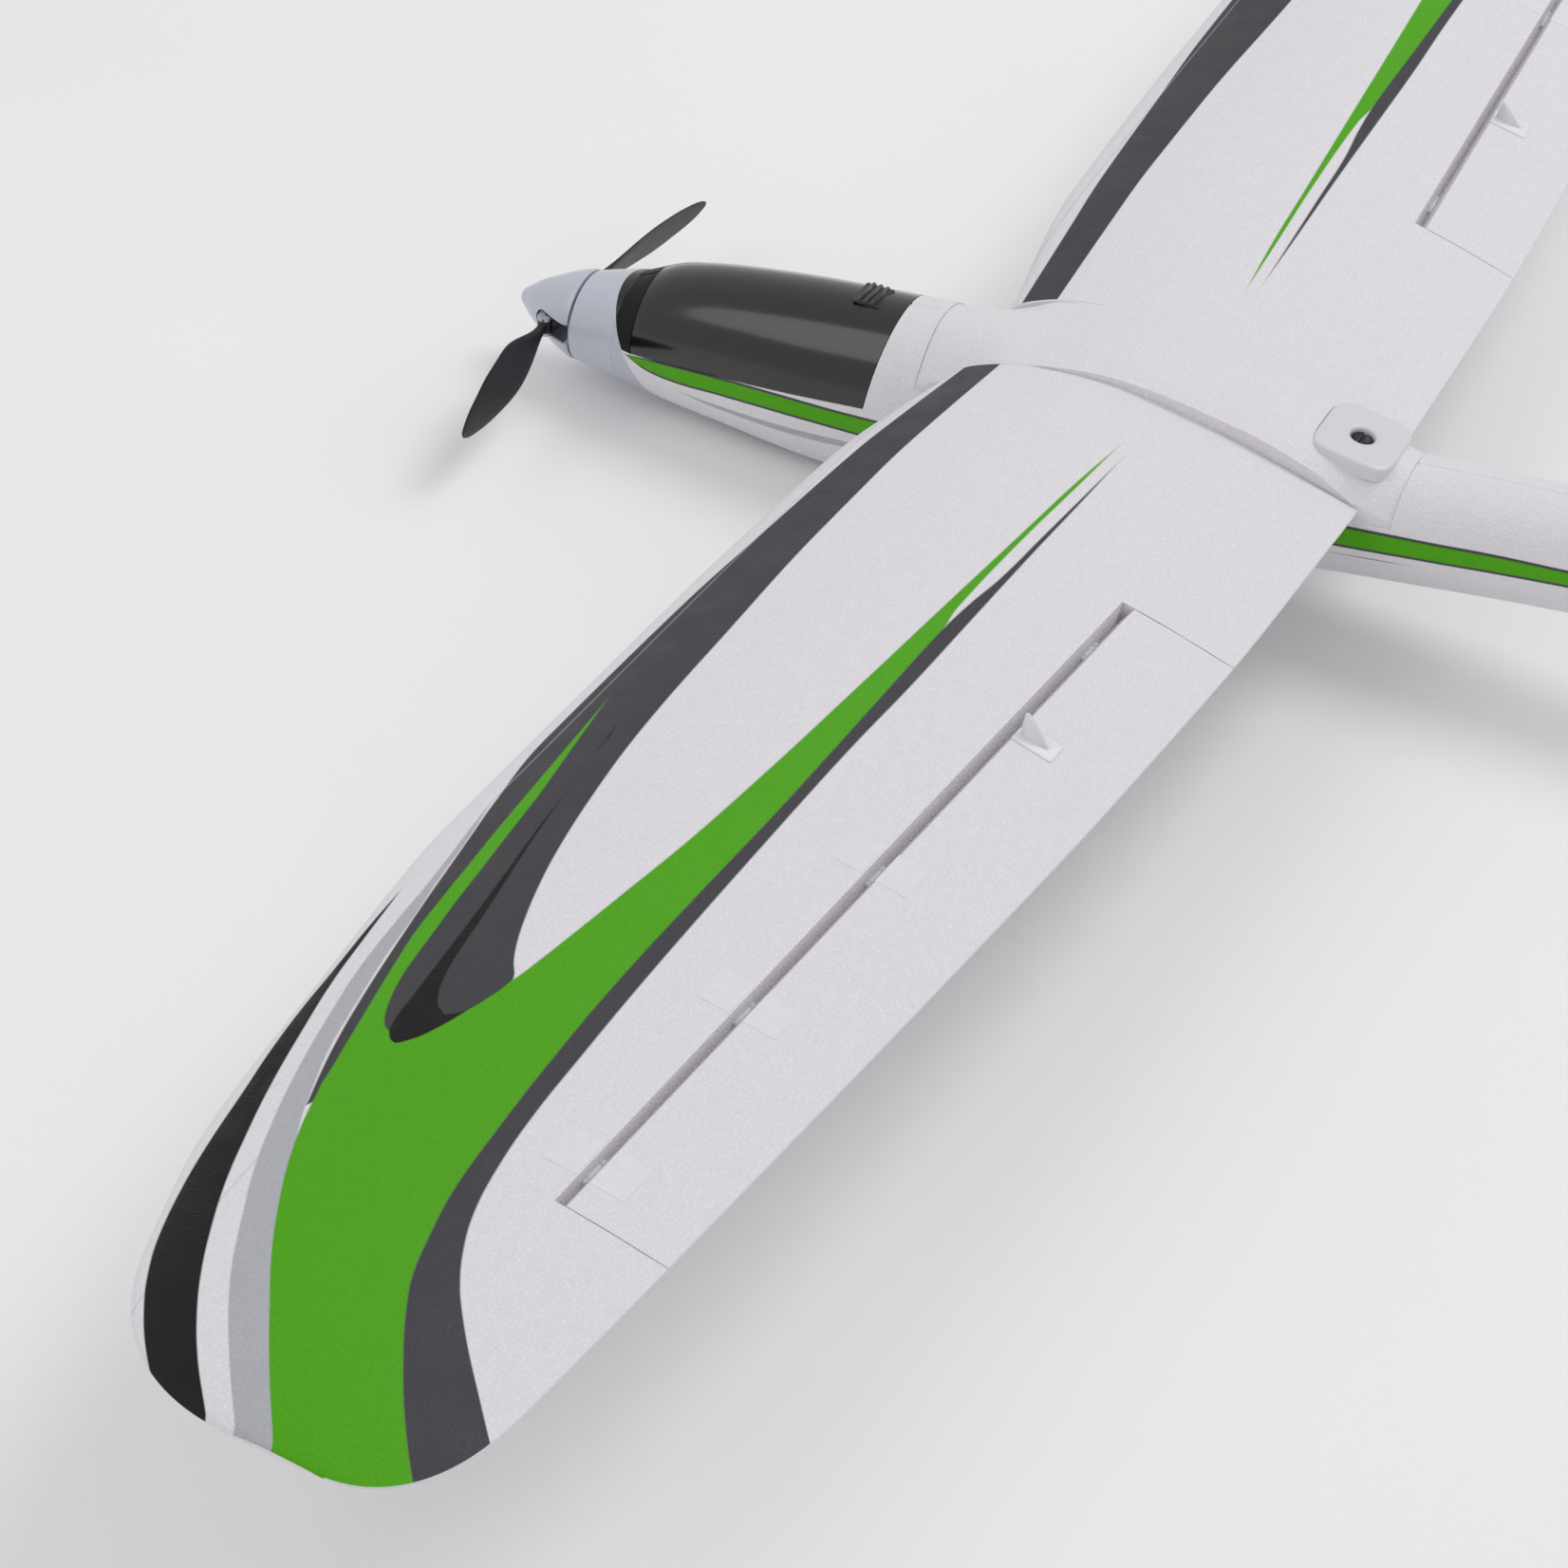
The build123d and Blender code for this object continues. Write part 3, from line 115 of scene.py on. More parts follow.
# ---- wing ----
HALF_SPAN = 750.0
ROOT_X = 31.0
ROOT_LE_Y = -248.4
ROOT_LE_Z = 83.0
DIHEDRAL = 3.65
INCIDENCE = 1.76
TRAILING_EDGE = 1.2
TIP_X = 748.9
WING = (                       # share of the panel's span, leading edge, trailing edge, thickness scale
    (0.0, 0.0, 195.0, 1.0),
    (0.138, -14.7, 195.0, 0.97),
    (0.334, -17.9, 190.5, 0.93),
    (0.565, -17.6, 180.0, 0.88),
    (0.724, -8.1, 171.5, 0.85),
    (0.841, 1.7, 165.0, 0.83),
    (0.905, 13.6, 161.0, 0.80),
    (0.955, 25.0, 157.6, 0.72),
    (1.0, 36.1, 154.2, 0.50),
)
TIP_FROM = 690.0               # the tip rounds off from here
TIP_POWER = 2.6
TIP_DRAW = (58.0, 40.0)        # how far the leading and the trailing edge close in at the tip
UPPER = ((0.0, 0.0), (0.06, 0.056), (0.18, 0.096), (0.38, 0.118), (0.65, 0.088), (0.85, 0.044), (1.0, 0.0))
LOWER = ((0.0, 0.0), (0.04, -0.019), (0.15, -0.028), (0.45, -0.026), (0.75, -0.014), (1.0, 0.0))
AILERON_ENDS = (173.0, 608.6)
HINGE_ENDS = ((173.0, -104.9, 92.68), (608.6, -124.25, 119.76))
HINGE_SLIT = 0.6
BEVEL = 30.0                   # each side of the aileron's nose leans back by this
NOSE_EDGE = 0.1
GAP = 0.5
NOTCH_STEP = 0.02
TAPE_PLACES = (385.0, 483.0, 585.0)
TAPE_AHEAD = 1.2               # from the hinge line to the tape's edge, ahead of it and behind
TAPE_BEHIND = 4.4
TAPE_FILM = 0.16
TAPE_SUNK = 0.1                # the film's underside is in the foam

# ---- printed decoration of the wing: x and the distance aft of the root's leading edge ----
BAND_FRONT = (
    (31, 5), (92, 1.5), (130, -1.5), (207, -5.5), (271, -9), (380, -10), (433, -4), (457, 0),
    (507, 7.5), (557, 16), (587, 22.5), (617, 31),
)
BAND_REAR = (
    (25, 23), (91, 21), (150, 19.3), (205, 19.3), (284, 21.5), (371, 25.2), (411, 29.5), (454, 36.3),
    (476, 41.2), (491, 45.3), (506, 50.2), (517, 55), (525, 59.5), (545, 62), (575, 62), (590, 50),
    (617, 31),
)
GREEN_FRONT = (
    (58, 98.8), (115, 94), (155, 91.7), (231, 87), (302, 82.6), (369, 78), (423, 73.2), (459, 68.7),
    (494, 64), (511, 61.5), (525, 59), (545, 52), (560, 44), (576, 35), (590, 30), (600, 29.3),
    (610, 31), (623, 34.2), (643, 41), (664, 50.2), (684, 60.5), (703, 72), (725, 86), (748, 102),
)
GREEN_REAR = (
    (58, 98.8), (120, 96.3), (161, 94.3), (226, 92.8), (244, 94.3), (310, 94), (383, 93), (443, 91.5),
    (505, 90.5), (550, 91), (593, 93), (627, 95.7), (648, 99.6), (666, 104), (678, 109), (700, 121),
    (720, 134), (748, 156),
)
SPIKE_FRONT = (
    (340, -1), (378, 2), (412, 4.6), (447, 7.3), (477, 9.8), (495, 11.2), (517, 13.2), (537, 16.6),
    (553, 19.6), (565, 22), (593, 27.5), (610, 31.2), (620, 45),
)
SPIKE_REAR = (
    (340, -1), (378, 4.5), (393, 6.7), (423, 11), (450, 13.8), (475, 16.3), (495, 18), (515, 20.3),
    (530, 21.9), (542, 23.6), (552, 26), (562, 29.4), (569, 33.5), (575, 42), (590, 45), (605, 45),
    (620, 30),
)
CRESCENT_FRONT = (
    (360, 13), (378, 14.6), (416, 18.9), (441, 21.2), (468, 24.4), (494, 27.3), (513, 29), (535, 31),
    (551, 32.4), (562, 33.4), (570, 35.3), (575, 39), (577, 46),
)
CRESCENT_REAR = (
    (360, 13), (400, 20), (450, 28), (500, 42), (517, 51), (527, 59), (540, 56.6), (549, 54),
    (555, 52.4), (561, 50.2), (568, 47.3), (572, 44.5), (575, 42), (577, 38),
)
INLAY_FRONT = (
    (378, 15), (400, 17), (429, 20.6), (452, 23.8), (473, 27), (489, 29.5), (504, 31.8), (517, 33.4),
    (527, 35), (539, 37.8), (547, 41), (552, 44.5), (554, 48.5), (556, 54),
)
INLAY_REAR = (
    (378, 15), (390, 26), (411, 28.5), (454, 35.3), (476, 40.2), (491, 44.3), (506, 49.2), (517, 54),
    (526, 59), (540, 56.6), (548, 54), (552, 51), (554, 48.5), (556, 46),
)
EDGE_FRONT = (
    (62, 103.2), (115, 101), (156, 99.2), (197, 97.3), (219, 94.9), (244, 93.3), (310, 92.8), (383, 92),
    (443, 90.4), (505, 89.3), (550, 90), (593, 92), (627, 94.7), (648, 98.6), (666, 103), (678, 108),
    (700, 120), (720, 133), (748, 155),
)
EDGE_REAR = (
    (62, 103.2), (118, 102.6), (176, 101.4), (232, 100.6), (285, 99.8), (333, 98.2), (405, 97.4),
    (468, 97.2), (512, 97.5), (545, 98.2), (580, 99.3), (605, 101.5), (630, 105.8), (649, 112.4),
    (660, 118), (667, 122.5), (700, 150), (748, 195),
)
HAZE_FRONT = (
    (431, -6), (487, 0.5), (511, 2), (540, 4.6), (569, 10), (597, 16.2), (630, 25.4), (653, 33.3),
    (674, 42.4), (694, 51.7), (709, 60.3), (728, 73), (748, 88),
)
HAZE_REAR = (
    (431, -5), (457, 0.3), (484, 4), (507, 7.8), (532, 11.2), (560, 16.4), (588, 22.3), (610, 29.3),
    (621, 33), (643, 43), (664, 52), (684, 62.5), (703, 74), (725, 88), (748, 104),
)
TIP_FRONT = (
    (485, -8.4), (512, -7.6), (546, -5), (567, -3.4), (592, 0), (617, 4.6), (640, 8.3), (665, 13),
    (689, 19.6), (705, 26.3), (718, 33.5), (735, 46), (748, 60),
)
TIP_REAR = (
    (485, -8.4), (501, -6.3), (524, -3.6), (548, -0.4), (578, 5.8), (613, 14), (638, 21.1), (661, 28.2),
    (684, 37.3), (701, 45.2), (713, 51.8), (730, 63), (748, 78),
)

# ---- printed stripes of the fuselage: y and z ----
STRIPE_TOP = (
    (-420, 38.2), (-395, 41.5), (-364, 45), (-333, 47.5), (-303, 49), (-281, 50.5), (-62, 66.3), (-23, 70.1),
    (11, 74.2), (41, 76.8), (160, 86.5), (300, 95),
)
STRIPE_FOOT = (
    (-420, 38.2), (-395, 33.8), (-364, 36.5), (-333, 39), (-303, 40.5), (-281, 41.5), (-62, 57.4), (-21, 62.3),
    (13, 67), (42, 70.5), (160, 83), (300, 95),
)
NOSE_BLACK_Y = -414.3          # the black of the canopy goes on ahead of the hatch, above this height
NOSE_BLACK_Z = 39.6
COWL_EDGE = (-424.0, 47.0)     # y and z of a point on the nose cowl's rear edge
COWL_LEAN = 0.52
STRIPE_BORDER = 1.3            # the charcoal shows this much past the green
PRINT_EDGE = 0.7               # softness of a printed edge on the wing
STRIPE_EDGE = 0.6              # and on the fuselage
WING_FRAME = (0.0, HALF_SPAN, -60.0, 260.0)      # start and length, along and across, of the wing's print
SIDE_FRAME = (-430.0, 860.0, 0.0, 120.0)         # and of the fuselage's
TOP_SIDE = 0.15                # the print covers skin whose normal points up by more than this
SWOOSH_TOP = ((-392, 28.2), (-365, 28.6), (-334, 30.6), (-303, 33.6), (-262, 38))
SWOOSH_FOOT = ((-392, 28.2), (-365, 25.4), (-334, 26), (-303, 29), (-262, 38))
LINE_TOP = ((-84, 49.3), (-38, 55.6), (-20, 57.6))
LINE_FOOT = ((-84, 49.3), (-38, 54.6), (-20, 57.6))

SIDES = (("left", 1.0), ("right", -1.0))


def linear(code):
    """Linear RGBA of an sRGB hex colour."""
    parts = [int(code[i:i + 2], 16) / 255 for i in (1, 3, 5)]
    return [c / 12.92 if c <= 0.04045 else ((c + 0.055) / 1.055) ** 2.4 for c in parts] + [1.0]


def paint_property(name, text, code):
    """A colour that the panel offers."""
    return bpy.props.FloatVectorProperty(
        name=name, description=text, subtype="COLOR", size=4, min=0, max=1, default=linear(code)
    )


class SailplanePaint(bpy.types.PropertyGroup):
    """Colours of the foam, the prints and the moulded plastic."""

    foam: paint_property("Foam", "Colour of the bare moulded foam", "#E6E3E8")
    green: paint_property("Green", "Main colour of the printed stripes", "#4FA800")
    charcoal: paint_property("Charcoal", "Dark grey of the printed bands", "#424146")
    black: paint_property("Black", "Colour of the canopy and the tip swoosh", "#0E0D0F")
    haze: paint_property("Haze", "Light grey of the printed bands", "#B4B5BC")
    silver: paint_property("Silver", "Colour of the spinner and the nose cowl", "#C3C6D2")


class SailplaneSizes(bpy.types.PropertyGroup):
    """Sizes of the small detail."""

    bead: bpy.props.FloatProperty(
        name="Bead", description="Width of one bead of the moulded foam", default=0.0020, min=0.001, max=0.01,
        unit="LENGTH",
    )
    tape_length: bpy.props.FloatProperty(
        name="Tape length", description="Length of a hinge tape along the hinge", default=0.019, min=0.005,
        max=0.05, unit="LENGTH",
    )
    tape_width: bpy.props.FloatProperty(
        name="Tape width", description="Width of a hinge tape on each side of the hinge", default=0.013,
        min=0.005, max=0.03, unit="LENGTH",
    )
    seam: bpy.props.FloatProperty(
        name="Seam", description="Width of the moulding seam along the fuselage", default=0.0016, min=0.0002,
        max=0.003, unit="LENGTH",
    )


def paint():
    """The colours that the panel holds."""
    return bpy.context.scene.sailplane_paint


def sizes():
    """The sizes that the panel holds."""
    return bpy.context.scene.sailplane_sizes


# ---------------------------------------------------------------- surfaces


def flow(table, at):
    """Columns of a station table at any places.

    A cubic runs through the stations. Its slope at a station is the harmonic mean of the
    steps on both sides, or level where they differ in sign, so it never overshoots.
    """
    table = np.asarray(table, float)
    places, values = table[:, 0], table[:, 1:]
    width = np.diff(places)[:, None]
    step = np.diff(values, axis=0) / width
    before, after = step[:-1], step[1:]
    same = before * after > 0
    total = np.where(same, before + after, 1.0)
    middle = np.where(same, 2 * before * after / total, 0.0)
    slope = np.vstack([step[:1], middle, step[-1:]])
    at = np.asarray(at, float)
    index = np.clip(np.searchsorted(places, at, side="right") - 1, 0, len(places) - 2)
    wide = width[index]
    t = (at - places[index])[..., None] / wide
    rise = t * t * (3 - 2 * t)
    ease_in = t * (1 - t) ** 2 * wide
    ease_out = t * t * (t - 1) * wide
    start, end = values[index], values[index + 1]
    return start + rise * (end - start) + ease_in * slope[index] + ease_out * slope[index + 1]


def mesh_of(name, points, faces):
    """Closed mesh with its doubles merged and its faces outward."""
    mesh = bpy.data.meshes.new(name)
    mesh.from_pydata(points, [], faces.tolist())
    work = bmesh.new()
    work.from_mesh(mesh)
    bmesh.ops.remove_doubles(work, verts=work.verts, dist=0.002 * MM)
    bmesh.ops.recalc_face_normals(work, faces=work.faces)
    work.to_mesh(mesh)
    work.free()
    return mesh


def skin(name, rings, ends=True):
    """Closed mesh over rows of rings, in millimetres.

    Quads join each ring to the next, and a strip across each end ring closes it: point k of
    a ring faces point -1-k. Without ends the last ring has to lie on the first.
    """
    rows, count, _ = rings.shape
    index = np.arange(rows * count).reshape(rows, count)
    after = np.roll(index, -1, axis=1)
    walls = np.stack([index[:-1], after[:-1], after[1:], index[1:]], -1).reshape(-1, 4)
    k = np.arange(count // 2 - 1)
    caps = [np.stack([row[k], row[-1 - k], row[-2 - k], row[k + 1]], -1) for row in (index[0], index[-1])]
    return mesh_of(name, rings.reshape(-1, 3) * MM, np.vstack([walls, *caps]) if ends else walls)


def prism(name, outline, low, high):
    """Side-view outline carried across from one x to another, in millimetres."""
    ring = np.array(outline, float)
    count = len(ring)
    points = np.vstack([np.column_stack([np.full(count, x), ring]) for x in (low, high)]) * MM
    k = np.arange(count)
    walls = np.column_stack([k, (k + 1) % count, (k + 1) % count + count, k + count])
    return mesh_of(name, points, np.vstack([walls, k[None], k[None] + count]))


def carve(mesh, cutter, operation="DIFFERENCE"):
    """Takes a cutter away from a mesh, or keeps what both hold."""
    block = bpy.data.objects.new("block", mesh)
    tool = bpy.data.objects.new("tool", cutter)
    for each in (block, tool):
        bpy.context.scene.collection.objects.link(each)
    step = block.modifiers.new("carve", "BOOLEAN")
    step.operation = operation
    step.solver = "EXACT"
    step.object = tool
    bpy.context.view_layer.update()
    found = block.evaluated_get(bpy.context.evaluated_depsgraph_get())
    made = bpy.data.meshes.new_from_object(found)
    bpy.data.objects.remove(block)
    bpy.data.objects.remove(tool)
    return made


def place(mesh, name, body, material, nodes=(), crease=35.0):
    """Object over a finished mesh, smooth up to the crease angle, on its body and with the given material."""
    mesh.name = name
    mesh.materials.clear()
    mesh.materials.append(material)
    mesh.shade_smooth()
    mesh.set_sharp_from_angle(angle=math.radians(crease))
    piece = bpy.data.objects.new(name, mesh)
    bpy.context.scene.collection.objects.link(piece)
    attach(piece, body)
    if nodes:
        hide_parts(*nodes)
    return piece


def dress(node, material, crease=32.0):
    """Copy of a CAD node with its corners merged, so that its round faces shade as round."""
    source = frame["nodes"][node]
    mesh = source.data.copy()
    work = bmesh.new()
    work.from_mesh(mesh)
    bmesh.ops.remove_doubles(work, verts=work.verts, dist=0.002 * MM)
    work.to_mesh(mesh)
    work.free()
    return place(mesh, f"{node}_finish", BODY_OF[node], material, [node], crease)


BODY_OF = {
    node: body for body, nodes in frame["record"]["behaviour"]["bodies"].items() for node in nodes
}
SLOT_OF = {row["node"]: row["material_slot"] for row in frame["record"]["subparts"]}


# ---------------------------------------------------------------- finishes


def add_node(tree, kind, inputs, **settings):
    """Adds one shader node: settings are its properties, inputs its sockets' values or links."""
    made = tree.nodes.new("ShaderNode" + kind)
    for key, value in settings.items():
        setattr(made, key, value)
    for key, value in inputs.items():
        if isinstance(value, bpy.types.NodeSocket):
            tree.links.new(value, made.inputs[key])
        else:
            made.inputs[key].default_value = value
    return made


def start_finish(name):
    """New node material: its tree, its surface shader and its object coordinates."""
    material = bpy.data.materials.new(name)
    material.use_nodes = True
    tree = material.node_tree
    shader = tree.nodes["Principled BSDF"]
    coordinate = tree.nodes.new("ShaderNodeTexCoord")
    return material, tree, shader, coordinate


def printed_band(tree, base, along, across, front, rear, ink, scale):
    """Lays one printed band over a base colour.

    The band is where across lies between two edges, which are curves over along. scale is
    (start and length of along, start and length of across, softness), in millimetres.
    """
    start, length, low, height, soft = scale
    edges = []
    for outline in (front, rear):
        curve = add_node(tree, "FloatCurve", {"Value": along})
        points = curve.mapping.curves[0].points
        while len(points) < len(outline):
            points.new(0.5, 0.5)
        for point, (place_mm, edge_mm) in zip(points, outline):
            point.location = ((place_mm - start) / length, (edge_mm - low) / height)
            point.handle_type = "AUTO_CLAMPED"
        curve.mapping.extend = "HORIZONTAL"
        curve.mapping.update()
        edges.append(curve.outputs[0])
    crisp = height / soft
    behind = add_node(tree, "Math", {0: across, 1: edges[0]}, operation="SUBTRACT")
    behind = add_node(tree, "Math", {0: behind.outputs[0], 1: crisp}, operation="MULTIPLY", use_clamp=True)
    before = add_node(tree, "Math", {0: edges[1], 1: across}, operation="SUBTRACT")
    before = add_node(tree, "Math", {0: before.outputs[0], 1: crisp}, operation="MULTIPLY", use_clamp=True)
    mask = add_node(tree, "Math", {0: behind.outputs[0], 1: before.outputs[0]}, operation="MULTIPLY")
    laid = add_node(tree, "Mix", {0: mask.outputs[0], 6: base, 7: tuple(ink)}, data_type="RGBA")
    return laid.outputs[2]


def wing_print(tree, coordinate, base):
    """Swooshes of the wing's upper side, mirrored from left to right by the distance |x|."""
    scale = (*WING_FRAME, PRINT_EDGE)
    parts = add_node(tree, "SeparateXYZ", {0: coordinate.outputs["Object"]})
    span = add_node(tree, "Math", {0: parts.outputs[0]}, operation="ABSOLUTE")
    span = add_node(tree, "Math", {0: span.outputs[0], 1: HALF_SPAN * MM}, operation="DIVIDE").outputs[0]
    shift = (-ROOT_LE_Y - scale[2]) / scale[3]
    inputs = {0: parts.outputs[1], 1: 1 / (scale[3] * MM), 2: shift}
    aft = add_node(tree, "Math", inputs, operation="MULTIPLY_ADD").outputs[0]
    ink = paint()
    colour = base
    for front, rear, tone in (
        (BAND_FRONT, BAND_REAR, ink.charcoal),
        (HAZE_FRONT, HAZE_REAR, ink.haze),
        (TIP_FRONT, TIP_REAR, ink.black),
        (GREEN_FRONT, GREEN_REAR, ink.green),
        (SPIKE_FRONT, SPIKE_REAR, ink.green),
        (CRESCENT_FRONT, CRESCENT_REAR, ink.black),
        (INLAY_FRONT, INLAY_REAR, ink.charcoal),
        (EDGE_FRONT, EDGE_REAR, ink.charcoal),
    ):
        colour = printed_band(tree, colour, span, aft, front, rear, tone, scale)
    up = add_node(tree, "SeparateXYZ", {0: coordinate.outputs["Normal"]})
    top = add_node(tree, "Math", {0: up.outputs[2], 1: TOP_SIDE}, operation="GREATER_THAN")
    laid = add_node(tree, "Mix", {0: top.outputs[0], 6: base, 7: colour}, data_type="RGBA")
    return laid.outputs[2]


def side_print(tree, coordinate, base):
    """Stripes along both sides of the fuselage, the black ahead of the hatch and the cowl's edge."""
    scale = (*SIDE_FRAME, STRIPE_EDGE)
    parts = add_node(tree, "SeparateXYZ", {0: coordinate.outputs["Object"]})
    inputs = {0: parts.outputs[1], 1: 1 / (scale[1] * MM), 2: -scale[0] / scale[1]}
    along = add_node(tree, "Math", inputs, operation="MULTIPLY_ADD").outputs[0]
    height = add_node(tree, "Math", {0: parts.outputs[2], 1: scale[3] * MM}, operation="DIVIDE").outputs[0]
    ink = paint()
    start_y, start_z = STRIPE_FOOT[0]
    border_top = [(y, z + STRIPE_BORDER * (z > start_z)) for y, z in STRIPE_TOP]
    border_foot = [(y, z - STRIPE_BORDER * (y > start_y)) for y, z in STRIPE_FOOT]
    colour = base
    for foot, top, tone in (
        (border_foot, border_top, ink.charcoal),
        (STRIPE_FOOT, STRIPE_TOP, ink.green),
        (SWOOSH_FOOT, SWOOSH_TOP, ink.haze),
        (LINE_FOOT, LINE_TOP, ink.charcoal),
    ):
        colour = printed_band(tree, colour, along, height, foot, top, tone, scale)
    ahead = add_node(tree, "Math", {0: parts.outputs[1], 1: NOSE_BLACK_Y * MM}, operation="LESS_THAN")
    above = add_node(tree, "Math", {0: parts.outputs[2], 1: NOSE_BLACK_Z * MM}, operation="GREATER_THAN")
    both = add_node(tree, "Math", {0: ahead.outputs[0], 1: above.outputs[0]}, operation="MULTIPLY")
    inputs = {0: both.outputs[0], 6: colour, 7: tuple(ink.black)}
    colour = add_node(tree, "Mix", inputs, data_type="RGBA").outputs[2]
    return cowl_edge(tree, parts, colour, ink.silver)


def cowl_edge(tree, parts, behind, ahead):
    """One colour ahead of the nose cowl's leaning rear edge and another behind it.

    The edge is a plane through COWL_EDGE that runs forward by COWL_LEAN for each step up.
    """
    lean = add_node(
        tree, "Math", {0: parts.outputs[2], 1: COWL_LEAN, 2: parts.outputs[1]}, operation="MULTIPLY_ADD"
    )
    edge = (COWL_EDGE[0] + COWL_LEAN * COWL_EDGE[1]) * MM
    front = add_node(tree, "Math", {0: lean.outputs[0], 1: edge}, operation="LESS_THAN")
    inputs = {0: front.outputs[0]}
    inputs[6] = behind if isinstance(behind, bpy.types.NodeSocket) else tuple(behind)
    inputs[7] = tuple(ahead)
    return add_node(tree, "Mix", inputs, data_type="RGBA").outputs[2]


def moulded_bead_foam(name, decorate=None):
    """Expanded foam moulded from beads: matt, with the fine outlines of its beads.

    The outlines are shallow grooves, darkened by painted shade, and the beads' tone varies. Ripples
    about a millimetre apart, drawn out along y, break the light up on foam and prints alike.
    """
    material, tree, shader, coordinate = start_finish(name)
    beads = 1 / sizes().bead
    place_of = coordinate.outputs["Object"]
    inputs = {"Vector": place_of, "Scale": beads, "Randomness": 0.85}
    cell = add_node(tree, "TexVoronoi", inputs, feature="DISTANCE_TO_EDGE")
    tint = add_node(tree, "TexVoronoi", inputs)
    cloud = add_node(tree, "TexNoise", {"Vector": place_of, "Scale": 60.0, "Detail": 4.0})
    # Painted shade: the groove value darkens the foam's colour to 0.94 of itself at the bead outlines, where
    # the relief sinks.
    inputs = {"Value": cell.outputs["Distance"], "From Max": 0.16, "To Min": 0.94, "To Max": 1.0}
    groove = add_node(tree, "MapRange", inputs)
    spread = add_node(tree, "MapRange", {"Value": tint.outputs["Color"], "To Min": 0.975, "To Max": 1.02})
    # tone is the painted groove shade times each bead's random tone; it multiplies the foam and print colours
    # below.
    tone = add_node(tree, "Math", {0: groove.outputs[0], 1: spread.outputs[0]}, operation="MULTIPLY")
    foam = tuple(paint().foam)
    colour = decorate(tree, coordinate, foam) if decorate else foam
    inputs = {0: 1.0, 6: colour, 7: tone.outputs[0]}
    shaded = add_node(tree, "Mix", inputs, data_type="RGBA", blend_type="MULTIPLY")
    tree.links.new(shaded.outputs[2], shader.inputs["Base Color"])
    inputs = {"Value": cloud.outputs[0], "From Min": 0.35, "From Max": 0.65, "To Min": 0.44, "To Max": 0.58}
    rough = add_node(tree, "MapRange", inputs)
    tree.links.new(rough.outputs[0], shader.inputs["Roughness"])
    relief = add_node(tree, "Math", {0: cell.outputs["Distance"], 1: 0.18}, operation="MINIMUM")
    lump = add_node(tree, "Math", {0: cloud.outputs[0], 1: 0.5, 2: relief.outputs[0]}, operation="MULTIPLY_ADD")
    drawn = add_node(tree, "Mapping", {"Vector": place_of, "Scale": (1.0, 0.45, 1.0)})
    ripple = add_node(tree, "TexNoise", {"Vector": drawn.outputs[0], "Scale": 800.0, "Detail": 2.0})
    lump = add_node(tree, "Math", {0: ripple.outputs[0], 1: 0.7, 2: lump.outputs[0]}, operation="MULTIPLY_ADD")
    bump = add_node(tree, "Bump", {"Height": lump.outputs[0], "Strength": 0.4, "Distance": 0.001})
    tree.links.new(bump.outputs[0], shader.inputs["Normal"])
    shader.inputs["IOR"].default_value = 1.45
    shader.inputs["Specular IOR Level"].default_value = 0.3
    return material


def moulded_plastic(name, tone, roughness, grain=0.00008, coat=0.0, ahead=None):
    """Injection-moulded plastic: an even colour, with the faint waves of a polished mould."""
    material, tree, shader, coordinate = start_finish(name)
    wave = add_node(tree, "TexNoise", {"Vector": coordinate.outputs["Object"], "Scale": 220.0, "Detail": 3.0})
    fine = add_node(tree, "TexNoise", {"Vector": coordinate.outputs["Object"], "Scale": 2400.0, "Detail": 2.0})
    rough = add_node(
        tree, "MapRange", {"Value": wave.outputs[0], "To Min": roughness * 0.85, "To Max": roughness * 1.15}
    )
    tree.links.new(rough.outputs[0], shader.inputs["Roughness"])
    height = add_node(tree, "Math", {0: fine.outputs[0], 1: wave.outputs[0]}, operation="ADD")
    bump = add_node(tree, "Bump", {"Height": height.outputs[0], "Strength": 0.3, "Distance": grain})
    tree.links.new(bump.outputs[0], shader.inputs["Normal"])
    dark = tuple(c * 0.94 for c in tone[:3]) + (1.0,)
    inputs = {0: wave.outputs[0], 6: dark, 7: tuple(tone)}
    colour = add_node(tree, "Mix", inputs, data_type="RGBA").outputs[2]
    if ahead is not None:
        parts = add_node(tree, "SeparateXYZ", {0: coordinate.outputs["Object"]})
        colour = cowl_edge(tree, parts, colour, ahead)
    tree.links.new(colour, shader.inputs["Base Color"])
    shader.inputs["IOR"].default_value = 1.5
    shader.inputs["Coat Weight"].default_value = coat
    shader.inputs["Coat Roughness"].default_value = 0.08
    return material


def drawn_metal(name, tone, roughness, stretch):
    """Drawn or turned metal: fine lines along the work, which spread the highlight."""
    material, tree, shader, coordinate = start_finish(name)
    turned = add_node(tree, "Mapping", {"Vector": coordinate.outputs["Object"], "Scale": stretch})
    line = add_node(tree, "TexNoise", {"Vector": turned.outputs[0], "Scale": 900.0, "Detail": 3.0})
    rough = add_node(
        tree, "MapRange", {"Value": line.outputs[0], "To Min": roughness * 0.7, "To Max": roughness * 1.4}
    )
    tree.links.new(rough.outputs[0], shader.inputs["Roughness"])
    bump = add_node(tree, "Bump", {"Height": line.outputs[0], "Strength": 0.2, "Distance": 0.00005})
    tree.links.new(bump.outputs[0], shader.inputs["Normal"])
    shader.inputs["Base Color"].default_value = tone
    shader.inputs["Metallic"].default_value = 1.0
    return material


